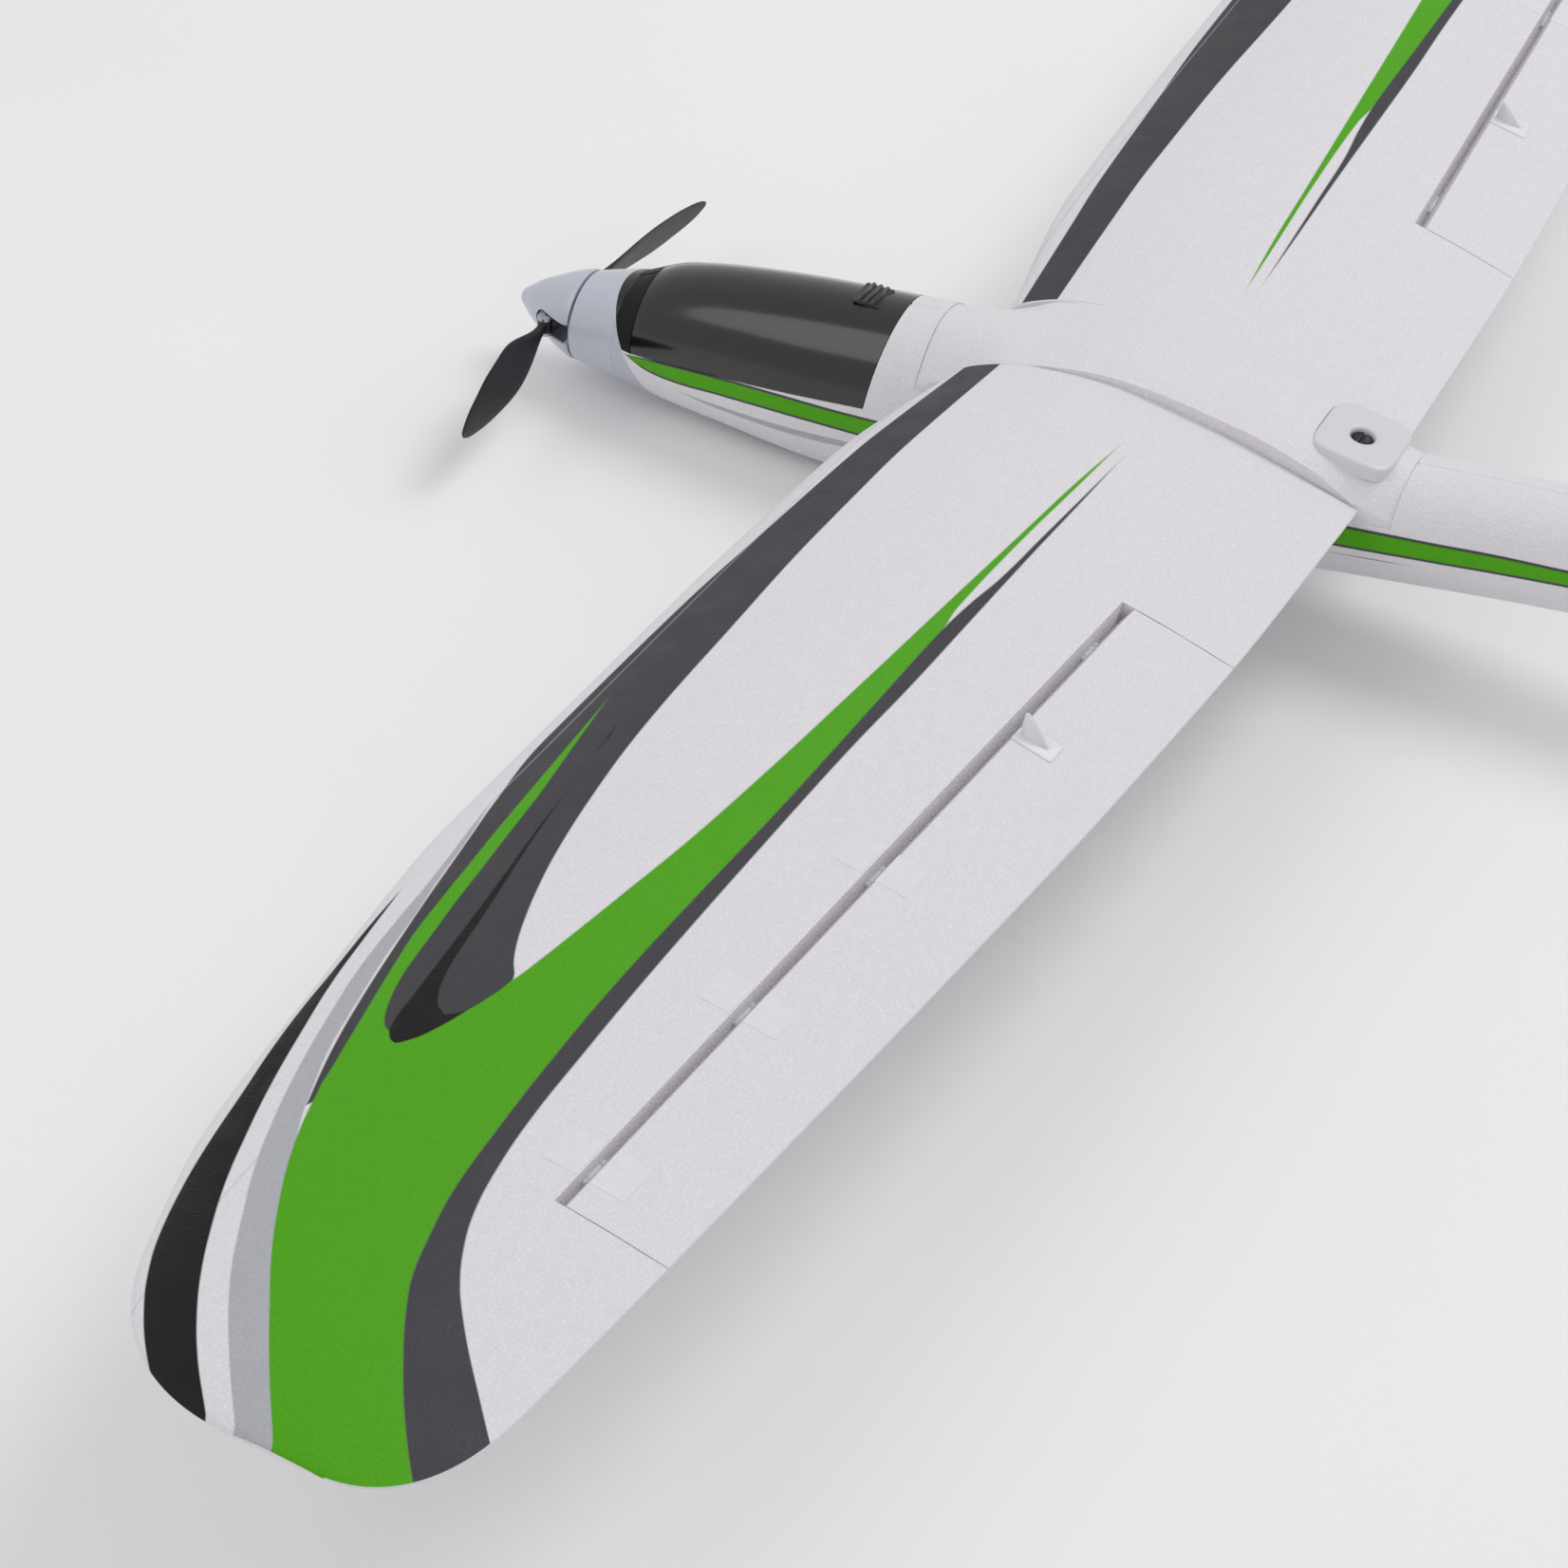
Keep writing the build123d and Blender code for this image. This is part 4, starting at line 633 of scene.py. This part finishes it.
def birch_plywood(name):
    """Birch plywood: pale, with a long grain and darker rings."""
    material, tree, shader, coordinate = start_finish(name)
    long = add_node(tree, "Mapping", {"Vector": coordinate.outputs["Object"], "Scale": (400.0, 30.0, 400.0)})
    grain = add_node(tree, "TexNoise", {"Vector": long.outputs[0], "Scale": 1.0, "Detail": 5.0})
    inputs = {0: grain.outputs[0], 6: tuple(linear("#B8925F")), 7: tuple(linear("#D9BC8C"))}
    colour = add_node(tree, "Mix", inputs, data_type="RGBA")
    tree.links.new(colour.outputs[2], shader.inputs["Base Color"])
    bump = add_node(tree, "Bump", {"Height": grain.outputs[0], "Strength": 0.3, "Distance": 0.0001})
    tree.links.new(bump.outputs[0], shader.inputs["Normal"])
    shader.inputs["Roughness"].default_value = 0.6
    return material


def woven_strap(name):
    """Hook and loop strap: black nylon ribs 0.8 mm apart."""
    material, tree, shader, coordinate = start_finish(name)
    ribs = add_node(
        tree, "TexWave", {"Vector": coordinate.outputs["Object"], "Scale": 200.0, "Distortion": 0.6},
        bands_direction="Y",
    )
    inputs = {0: ribs.outputs[0], 6: tuple(linear("#101012")), 7: tuple(linear("#2C2C30"))}
    colour = add_node(tree, "Mix", inputs, data_type="RGBA")
    tree.links.new(colour.outputs[2], shader.inputs["Base Color"])
    bump = add_node(tree, "Bump", {"Height": ribs.outputs[0], "Strength": 0.5, "Distance": 0.0003})
    tree.links.new(bump.outputs[0], shader.inputs["Normal"])
    shader.inputs["Roughness"].default_value = 0.85
    return material


def clear_tape(name):
    """Matt clear polyester tape over foam: a shade paler and smoother than the foam round it."""
    material, tree, shader, coordinate = start_finish(name)
    wave = add_node(tree, "TexNoise", {"Vector": coordinate.outputs["Object"], "Scale": 300.0, "Detail": 3.0})
    inputs = {0: wave.outputs[0], 6: tuple(linear("#DDDBE1")), 7: tuple(linear("#E9E7ED"))}
    colour = add_node(tree, "Mix", inputs, data_type="RGBA")
    tree.links.new(colour.outputs[2], shader.inputs["Base Color"])
    bump = add_node(tree, "Bump", {"Height": wave.outputs[0], "Strength": 0.25, "Distance": 0.0002})
    tree.links.new(bump.outputs[0], shader.inputs["Normal"])
    shader.inputs["Roughness"].default_value = 0.3
    return material


FINISHES = {}


def finish_of(slot):
    """The finish of one material slot, made when it is first asked for."""
    if slot not in FINISHES:
        ink = paint()
        makers = {
            "fuselage_foam": lambda: moulded_bead_foam("bead_foam_fuselage", side_print),
            "left_wing_foam": lambda: moulded_bead_foam("bead_foam_wing", wing_print),
            "tail_foam": lambda: moulded_bead_foam("bead_foam_plain"),
            "canopy_paint": lambda: moulded_plastic("gloss_black_shell", ink.black, 0.16, coat=0.6),
            "silver_plastic": lambda: moulded_plastic("silver_white_plastic", ink.silver, 0.3, coat=0.2),
            "white_plastic": lambda: moulded_plastic("frosted_white_plastic", linear("#DADBE2"), 0.35),
            "horn_nylon": lambda: moulded_plastic("white_nylon", linear("#E9E9EE"), 0.4),
            "hinge_nylon": lambda: moulded_plastic("hinge_nylon", linear("#DCDCE2"), 0.45),
            "servo_case": lambda: moulded_plastic("servo_case_plastic", linear("#1B1B1E"), 0.45),
            "blade_plastic": lambda: moulded_plastic("glass_filled_nylon", linear("#17171A"), 0.42, 0.00015),
            "carbon_tube": lambda: moulded_plastic("carbon_tube", linear("#141416"), 0.3),
            "electronics_case": lambda: moulded_plastic("electronics_case", linear("#22232A"), 0.5),
            "steel_wire": lambda: drawn_metal("drawn_steel_wire", linear("#A9ABB0"), 0.3, (1.0, 0.05, 1.0)),
            "motor_steel": lambda: drawn_metal("ground_steel", linear("#9C9EA4"), 0.28, (1.0, 0.1, 1.0)),
            "motor_can": lambda: drawn_metal("turned_aluminium", linear("#B9BBC2"), 0.3, (0.1, 1.0, 0.1)),
            "battery_foil": lambda: moulded_plastic("battery_wrap", linear("#23407A"), 0.25),
            "plywood": lambda: birch_plywood("birch_plywood"),
            "strap_fabric": lambda: woven_strap("woven_strap"),
        }
        makers["right_wing_foam"] = lambda: finish_of("left_wing_foam")
        FINISHES[slot] = makers[slot]()
    return FINISHES[slot]


# ---------------------------------------------------------------- wing


def section_height(share, table):
    """Height of the airfoil over its chord line, as a share of the chord.

    The table is read over the square root of the place, so that the nose is round.
    """
    rooted = [(math.sqrt(a), h) for a, h in table]
    return flow(rooted, np.sqrt(share))[..., 0]


def wing_outline(x):
    """Leading edge, trailing edge and thickness scale at each x.

    They follow the stations. Towards the tip both edges close in as superellipses:
    the draw is 1 - (1 - u ** power) ** (1 / power), where u goes from 0 to 1.
    """
    leading, trailing, thick = flow(WING, (x - ROOT_X) / (HALF_SPAN - ROOT_X)).T
    u = np.clip((x - TIP_FROM) / (TIP_X - TIP_FROM), 0, 1)
    draw = 1 - (1 - u ** TIP_POWER) ** (1 / TIP_POWER)
    return leading + TIP_DRAW[0] * draw, trailing - TIP_DRAW[1] * draw, thick


def wing_points(x, share, upper):
    """Points of the left wing's skin: x across, and the place along the chord at each.

    The height is the airfoil's, plus half the blunt trailing edge times the fourth power of the
    share, so that the skins part only near that edge.
    """
    leading, trailing, thick = wing_outline(x)
    chord = trailing - leading
    half_edge = TRAILING_EDGE / 2 if upper else -TRAILING_EDGE / 2
    up = section_height(share, UPPER if upper else LOWER) * chord[:, None] * thick[:, None]
    up = up + half_edge * share ** 4
    along = share * chord[:, None]
    angle = math.radians(INCIDENCE)
    base_z = ROOT_LE_Z + (x - ROOT_X) * math.tan(math.radians(DIHEDRAL)) - leading * math.tan(angle)
    y = ROOT_LE_Y + leading[:, None] + along * math.cos(angle) + up * math.sin(angle)
    z = base_z[:, None] - along * math.sin(angle) + up * math.cos(angle)
    return np.stack([np.broadcast_to(x[:, None], y.shape), y, z], -1)


def hinge_line(x):
    """y and z of the aileron's hinge line at each x: straight between its ends."""
    (x0, y0, z0), (x1, y1, z1) = HINGE_ENDS
    t = (x - x0) / (x1 - x0)
    return y0 + t * (y1 - y0), z0 + t * (z1 - z0)


def share_of(x, y):
    """Place along the chord, as a share of it, of points at x and y."""
    leading, trailing, _ = wing_outline(x)
    return (y - ROOT_LE_Y - leading) / (trailing - leading) / math.cos(math.radians(INCIDENCE))


def panel_rings():
    """Rings of the wing panel: the airfoil, cut short ahead of the aileron's hinge line.

    Two stations lie just apart at each end of the aileron, and make the notch's side wall.
    """
    inner, outer = AILERON_ENDS[0] - GAP, AILERON_ENDS[1] + GAP
    wall = NOTCH_STEP
    tip = TIP_X - (TIP_X - outer) * np.linspace(1, 0, 56) ** 3
    x = np.concatenate([
        np.linspace(ROOT_X, inner, 24),
        np.linspace(inner + wall, outer - wall, 60),
        tip,
    ])
    hinge_y, _ = hinge_line(x)
    notch = (x > inner) & (x < outer)
    limit = np.where(notch, share_of(x, hinge_y - HINGE_SLIT), 1.0)
    q = np.linspace(1.0, 0.0, 44) ** 1.15
    share = limit[:, None] * q[None] ** 2
    upper = wing_points(x, share, True)
    lower = wing_points(x, share[:, ::-1], False)
    return np.concatenate([upper, lower], 1)


def aileron_rings():
    """Rings of the aileron: the airfoil behind the hinge line, with a bevelled nose."""
    x = np.linspace(*AILERON_ENDS, 60)
    hinge_y, hinge_z = hinge_line(x)
    slope = math.tan(math.radians(BEVEL))
    start = share_of(x, hinge_y)
    leading, trailing, _ = wing_outline(x)
    chord = trailing - leading
    sides = []
    for upper in (True, False):
        skin_z = wing_points(x, start[:, None], upper)[:, 0, 2]
        back = (GAP / 2 + slope * np.abs(skin_z - hinge_z)) / chord
        nose = start + back
        t = np.linspace(1.0, 0.0, 14)
        sides.append(wing_points(x, nose[:, None] + (1 - nose[:, None]) * t[None], upper))
    point = np.stack([x, hinge_y + GAP / 2, hinge_z], -1)[:, None]
    lift = np.array([0.0, 0.0, NOSE_EDGE])
    return np.concatenate([sides[0], point + lift, point - lift, sides[1][:, ::-1]], 1)


def tape_rings(middle, ahead):
    """Rings of one hinge tape: a film laid on the upper skin, beside the hinge line."""
    length, width = sizes().tape_length / MM, sizes().tape_width / MM
    x = np.linspace(middle - length / 2, middle + length / 2, 8)
    hinge_y, _ = hinge_line(x)
    near = -TAPE_AHEAD if ahead else TAPE_BEHIND
    far = near - width if ahead else near + width
    share = np.stack([share_of(x, hinge_y + near + t * (far - near)) for t in np.linspace(0, 1, 8)], 1)
    foot = wing_points(x, share, True)
    film, sunk = (np.array([0.0, 0.0, lift]) for lift in (TAPE_FILM, -TAPE_SUNK))
    return np.concatenate([foot + film, (foot + sunk)[:, ::-1]], 1)


def mirrored(rings, side):
    """Rings of the left side, or the same on the right."""
    return rings * np.array([side, 1.0, 1.0])


# ---------------------------------------------------------------- fuselage


def fuselage_rings(start_angle, end_angle, wall, rows, seam=0.0):
    """Rings of a curved wall: ellipses along y, out at full size and back inset by the wall.

    x = half width * cos(angle), z = centre + half height * sin(angle). Along a seam the outer
    wall sinks towards x = 0 in a bell of the seam's half width, and the angles, which follow a
    sine, lie close together there.
    """
    plug = [TAIL_PLUG_Y + PLUG_STEP, FUSELAGE[-1][0]]
    y = np.concatenate([np.linspace(FUSELAGE[0][0], TAIL_PLUG_Y, rows), plug])
    centre, half_width, half_height = flow(FUSELAGE, y).T
    inset = np.where(y > TAIL_PLUG_Y, half_width - PLUG_CORE, wall)
    t = np.linspace(-1.0, 1.0, 72)
    middle, reach = (start_angle + end_angle) / 2, (end_angle - start_angle) / 2
    angle = np.radians(middle + reach * (np.sin(t * math.pi / 2) if seam else t))
    sides = []
    for draw, turn in ((np.zeros_like(inset), 1), (inset, -1)):
        x = (half_width - draw)[:, None] * np.cos(angle)[None, ::turn]
        groove = SEAM_DEPTH * np.exp(-(2 * x / seam) ** 2) if seam and turn > 0 else 0.0
        z = centre[:, None] + ((half_height - draw)[:, None] - groove) * np.sin(angle)[None, ::turn]
        sides.append(np.stack([x, np.broadcast_to(y[:, None], x.shape), z], -1))
    return np.concatenate(sides, 1)


def grown(outline, by):
    """The hatch's outline with its front, rear and foot moved out by a seam."""
    middle = np.mean([p[0] for p in outline])
    return [(y + math.copysign(by, y - middle), z if z > 100 else z - by) for y, z in outline]


def fairing_rings():
    """Rings of the centre fairing: flat seat, upright sides and a crown that is a parabola."""
    y = np.linspace(FAIRING[0][0], FAIRING[-1][0], 70)
    side, ridge, half = flow(FAIRING, y).T
    t = np.linspace(1.0, -1.0, 41)
    crown = side[:, None] + (ridge - side)[:, None] * (1 - np.abs(t) ** 2.2)[None]
    top = np.stack([half[:, None] * t[None], np.broadcast_to(y[:, None], crown.shape), crown], -1)
    seat = top[:, ::-1].copy()
    seat[..., 2] = FAIRING_SEAT_Z
    return np.concatenate([top, seat], 1)


def plate_rings(rows):
    """Rings about the wing bolt: each row gives the share from the hole to the rim, and the level.

    A ring is a mix of the hole's circle and the rim, whose x and y are half the plate's size
    times a power of the cosine and the sine, which squares it off.
    """
    angle = np.linspace(0, 2 * math.pi, 72, endpoint=False) + math.pi / 72
    wave = np.stack([np.cos(angle), np.sin(angle)], -1)
    rim = np.sign(wave) * np.abs(wave) ** PLATE_SQUARE * np.array(PLATE_SIZE) / 2
    rings = []
    for share, level in rows:
        ring = (1 - share) * wave * PLATE_HOLE + share * rim
        rings.append(np.column_stack([ring, np.full(len(ring), level)]))
    turn = np.array(Matrix.Rotation(math.radians(-PLATE_SLOPE), 3, "X"))
    return np.array(rings) @ turn.T + np.array(PLATE_CENTRE)


def bolt_plate_rings():
    """Rings of the bolt plate: up the hole's wall, over its rolled lip, out and round the rim."""
    return plate_rings((
        (0.0, -PLATE_DEPTH), (0.0, -1.2), (0.03, -0.4), (0.1, 0.0), (0.3, -0.1), (0.6, -0.15), (0.86, 0.0),
        (0.95, -0.25), (0.99, -0.8), (1.0, -1.6), (1.0, -PLATE_DEPTH), (0.5, -PLATE_DEPTH), (0.0, -PLATE_DEPTH),
    ))


# ---------------------------------------------------------------- operators


class SAILPLANE_OT_wings(bpy.types.Operator):
    """Builds both wing panels and both ailerons as smooth skins over the airfoil's stations"""

    bl_idname = "sailplane.wings"
    bl_label = "Wings and ailerons"

    def execute(self, context):
        panel, flap = panel_rings(), aileron_rings()
        for side, sign in SIDES:
            foam = finish_of("left_wing_foam")
            name = f"{side}_wing_panel"
            place(skin(name, mirrored(panel, sign)), f"{name}_skin", "airframe", foam, [name], 40)
            name = f"{side}_aileron"
            place(skin(name, mirrored(flap, sign)), f"{name}_skin", name, foam, [name], 40)
        return {"FINISHED"}


class SAILPLANE_OT_tapes(bpy.types.Operator):
    """Lays the clear hinge tapes on the wing and the ailerons"""

    bl_idname = "sailplane.tapes"
    bl_label = "Hinge tapes"

    def execute(self, context):
        film = clear_tape("clear_tape")
        for side, sign in SIDES:
            for number, middle in enumerate(TAPE_PLACES, 1):
                for ahead, body in ((True, "airframe"), (False, f"{side}_aileron")):
                    name = f"{side}_hinge_tape_{number}_{'front' if ahead else 'rear'}"
                    rings = mirrored(tape_rings(middle, ahead), sign)
                    place(skin(name, rings), name, body, film)
        return {"FINISHED"}


class SAILPLANE_OT_fuselage(bpy.types.Operator):
    """Builds the two fuselage halves, with the hatch opening and the wing saddle cut out"""

    bl_idname = "sailplane.fuselage"
    bl_label = "Fuselage halves"

    def execute(self, context):
        whole = fuselage_rings(-90.0, 90.0, SHELL_WALL, 150, sizes().seam / MM)
        for side, sign in SIDES:
            mesh = skin(side, mirrored(whole, sign))
            opening = prism("opening", grown(HATCH_OUTLINE, HATCH_GAP), -REACH, REACH)
            mesh = carve(mesh, opening)
            front, rear = FAIRING[0][0] - SADDLE_GAP, FAIRING[-1][0] + SADDLE_GAP
            seat = [(front, FAIRING_SEAT_Z), (rear, FAIRING_SEAT_Z), (rear, 200), (front, 200)]
            mesh = carve(mesh, prism("saddle", seat, -REACH, REACH))
            belly = [(-600, -40), (0, -40), (0, BELLY_FLAT_Z), (-600, BELLY_FLAT_Z)]
            mesh = carve(mesh, prism("belly", belly, -REACH, REACH))
            name = f"fuselage_{side}_half"
            place(mesh, f"{name}_skin", "airframe", finish_of("fuselage_foam"), [name], 40)
        return {"FINISHED"}


class SAILPLANE_OT_hatch(bpy.types.Operator):
    """Builds the gloss canopy hatch as a thin shell of the fuselage's own shape"""

    bl_idname = "sailplane.hatch"
    bl_label = "Canopy hatch"

    def execute(self, context):
        mesh = skin("hatch", fuselage_rings(-60.0, 240.0, HATCH_WALL, 180))
        mesh = carve(mesh, prism("outline", HATCH_OUTLINE, -REACH, REACH), "INTERSECT")
        gloss = finish_of("canopy_paint")
        place(mesh, "canopy_hatch_shell", "canopy_hatch", gloss, ["canopy_hatch"], 40)
        dress("hatch_latch", gloss)
        return {"FINISHED"}


class SAILPLANE_OT_fairing(bpy.types.Operator):
    """Builds the centre fairing over the wing joint, with the bolt plate let into it"""

    bl_idname = "sailplane.fairing"
    bl_label = "Centre fairing"

    def execute(self, context):
        pocket = skin("pocket", plate_rings(((1.0, -PLATE_DEPTH), (1.0, 30.0))))
        mesh = carve(skin("fairing", fairing_rings()), pocket)
        foam = finish_of("fuselage_foam")
        place(mesh, "wing_fairing_skin", "airframe", foam, ["wing_fairing"], 40)
        frosted = finish_of("white_plastic")
        plate = skin("plate", bolt_plate_rings(), ends=False)
        place(plate, "wing_bolt_plate_shell", "airframe", frosted, ["wing_bolt_plate"], 50)
        dress("wing_bolt", moulded_plastic("black_nylon_bolt", linear("#232326"), 0.5))
        return {"FINISHED"}


NOSE_NODES = (
    "spinner_cone", "spinner_backplate", "prop_hub", "blade_a", "blade_b", "blade_pins",
    "motor_bell", "motor_shaft", "motor_stator",
)


class SAILPLANE_OT_nose(bpy.types.Operator):
    """Finishes the cowl, the spinner, the hub and the folding blades"""

    bl_idname = "sailplane.nose"
    bl_label = "Nose and propeller"

    def execute(self, context):
        ink = paint()
        cowl = moulded_plastic("cowl_plastic", ink.black, 0.28, coat=0.2, ahead=ink.silver)
        dress("nose_cowl", cowl)
        for node in NOSE_NODES:
            dress(node, finish_of(SLOT_OF[node]))
        return {"FINISHED"}


class SAILPLANE_OT_tail(bpy.types.Operator):
    """Finishes the fin, the stabiliser, the rudder and the elevator in plain foam"""

    bl_idname = "sailplane.tail"
    bl_label = "Tail"

    def execute(self, context):
        for node in ("vertical_fin", "stabilizer", "rudder", "elevator"):
            dress(node, finish_of("tail_foam"))
        return {"FINISHED"}


class SAILPLANE_OT_fittings(bpy.types.Operator):
    """Finishes every node that still shows: servos, rods, horns, hinges and what the pod holds"""

    bl_idname = "sailplane.fittings"
    bl_label = "Fittings"

    def execute(self, context):
        for node, source in sorted(frame["nodes"].items()):
            if not source.hide_render:
                dress(node, finish_of(SLOT_OF[node]))
        return {"FINISHED"}


CAMERA_AT = (1.450, 0.3564, 1.0947)
CAMERA_TURN = -115.60          # compass direction of the view, degrees from +Y towards +X
CAMERA_DOWN = 39.09
CAMERA_ROLL = 2.58
CAMERA_LENS = 93.45
STUDIO_LIGHT = 0.62
FLOOR_REACH = 30.0
LAMPS = (                      # name, place, aim, diameter and power
    ("key", (-1.2, 0.9, 2.6), (0.1, -0.1, 0.0), 1.6, 26.0),
    ("fill", (1.8, -1.6, 2.2), (0.2, -0.2, 0.0), 2.0, 11.0),
)


class SAILPLANE_OT_stage(bpy.types.Operator):
    """Sets out a pale floor, soft studio lights and the camera"""

    bl_idname = "sailplane.stage"
    bl_label = "Stage"

    def execute(self, context):
        scene = context.scene
        material, tree, shader, coordinate = start_finish("pale_floor")
        grain = add_node(tree, "TexNoise", {"Vector": coordinate.outputs["Object"], "Scale": 3.0})
        inputs = {0: grain.outputs[0], 6: (0.9, 0.9, 0.9, 1.0), 7: (0.94, 0.94, 0.94, 1.0)}
        tone = add_node(tree, "Mix", inputs, data_type="RGBA")
        tree.links.new(tone.outputs[2], shader.inputs["Base Color"])
        shader.inputs["Roughness"].default_value = 0.9
        far = FLOOR_REACH
        corners = [(-far, -far, 0), (far, -far, 0), (far, far, 0), (-far, far, 0)]
        sheet = bpy.data.meshes.new("floor")
        sheet.from_pydata(corners, [], [(0, 1, 2, 3)])
        sheet.materials.append(material)
        floor = bpy.data.objects.new("floor", sheet)
        scene.collection.objects.link(floor)
        world = bpy.data.worlds.new("studio")
        world.use_nodes = True
        sky = world.node_tree.nodes["Background"]
        sky.inputs[0].default_value = (1.0, 1.0, 1.0, 1.0)
        sky.inputs[1].default_value = STUDIO_LIGHT
        scene.world = world
        for name, spot, aim, size, power in LAMPS:
            lamp = bpy.data.lights.new(name, "AREA")
            lamp.shape = "DISK"
            lamp.size = size
            lamp.energy = power
            light = bpy.data.objects.new(name, lamp)
            light.location = spot
            light.rotation_euler = (Vector(aim) - Vector(spot)).to_track_quat("-Z", "Y").to_euler()
            scene.collection.objects.link(light)
        lens = bpy.data.cameras.new("camera")
        lens.lens = CAMERA_LENS
        lens.sensor_width = 36.0
        lens.clip_start, lens.clip_end = 0.02, 100.0
        camera = bpy.data.objects.new("camera", lens)
        turn, down, roll = (math.radians(a) for a in (CAMERA_TURN, CAMERA_DOWN, CAMERA_ROLL))
        forward = Vector((math.sin(turn) * math.cos(down), math.cos(turn) * math.cos(down), -math.sin(down)))
        right = forward.cross(Vector((0, 0, 1))).normalized()
        above = right.cross(forward)
        across = right * math.cos(roll) + above * math.sin(roll)
        upward = above * math.cos(roll) - right * math.sin(roll)
        turned = Matrix((across, upward, -forward)).transposed().to_4x4()
        camera.matrix_world = Matrix.Translation(CAMERA_AT) @ turned
        scene.collection.objects.link(camera)
        scene.camera = camera
        scene.view_settings.view_transform = "Standard"
        return {"FINISHED"}


class SAILPLANE_PT_panel(bpy.types.Panel):
    """Lists the pieces, and the sizes and colours that can be changed"""

    bl_idname = "SAILPLANE_PT_panel"
    bl_label = "Sailplane"
    bl_space_type = "VIEW_3D"
    bl_region_type = "UI"
    bl_category = "Sailplane"

    def draw(self, context):
        for group in (context.scene.sailplane_paint, context.scene.sailplane_sizes):
            for name in group.__annotations__:
                self.layout.prop(group, name)
        for operator in OPERATORS:
            self.layout.operator(operator.bl_idname)


OPERATORS = (
    SAILPLANE_OT_stage,
    SAILPLANE_OT_wings,
    SAILPLANE_OT_tapes,
    SAILPLANE_OT_fuselage,
    SAILPLANE_OT_hatch,
    SAILPLANE_OT_fairing,
    SAILPLANE_OT_nose,
    SAILPLANE_OT_tail,
    SAILPLANE_OT_fittings,
)
CLASSES = (SailplanePaint, SailplaneSizes, *OPERATORS, SAILPLANE_PT_panel)


def register():
    for cls in CLASSES:
        bpy.utils.register_class(cls)
    bpy.types.Scene.sailplane_paint = bpy.props.PointerProperty(type=SailplanePaint)
    bpy.types.Scene.sailplane_sizes = bpy.props.PointerProperty(type=SailplaneSizes)


def unregister():
    del bpy.types.Scene.sailplane_sizes
    del bpy.types.Scene.sailplane_paint
    for cls in reversed(CLASSES):
        bpy.utils.unregister_class(cls)


def main():
    """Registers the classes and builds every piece."""
    register()
    bpy.ops.sailplane.stage()
    bpy.ops.sailplane.wings()
    bpy.ops.sailplane.tapes()
    bpy.ops.sailplane.fuselage()
    bpy.ops.sailplane.hatch()
    bpy.ops.sailplane.fairing()
    bpy.ops.sailplane.nose()
    bpy.ops.sailplane.tail()
    bpy.ops.sailplane.fittings()


if __name__ == "__main__":
    main()
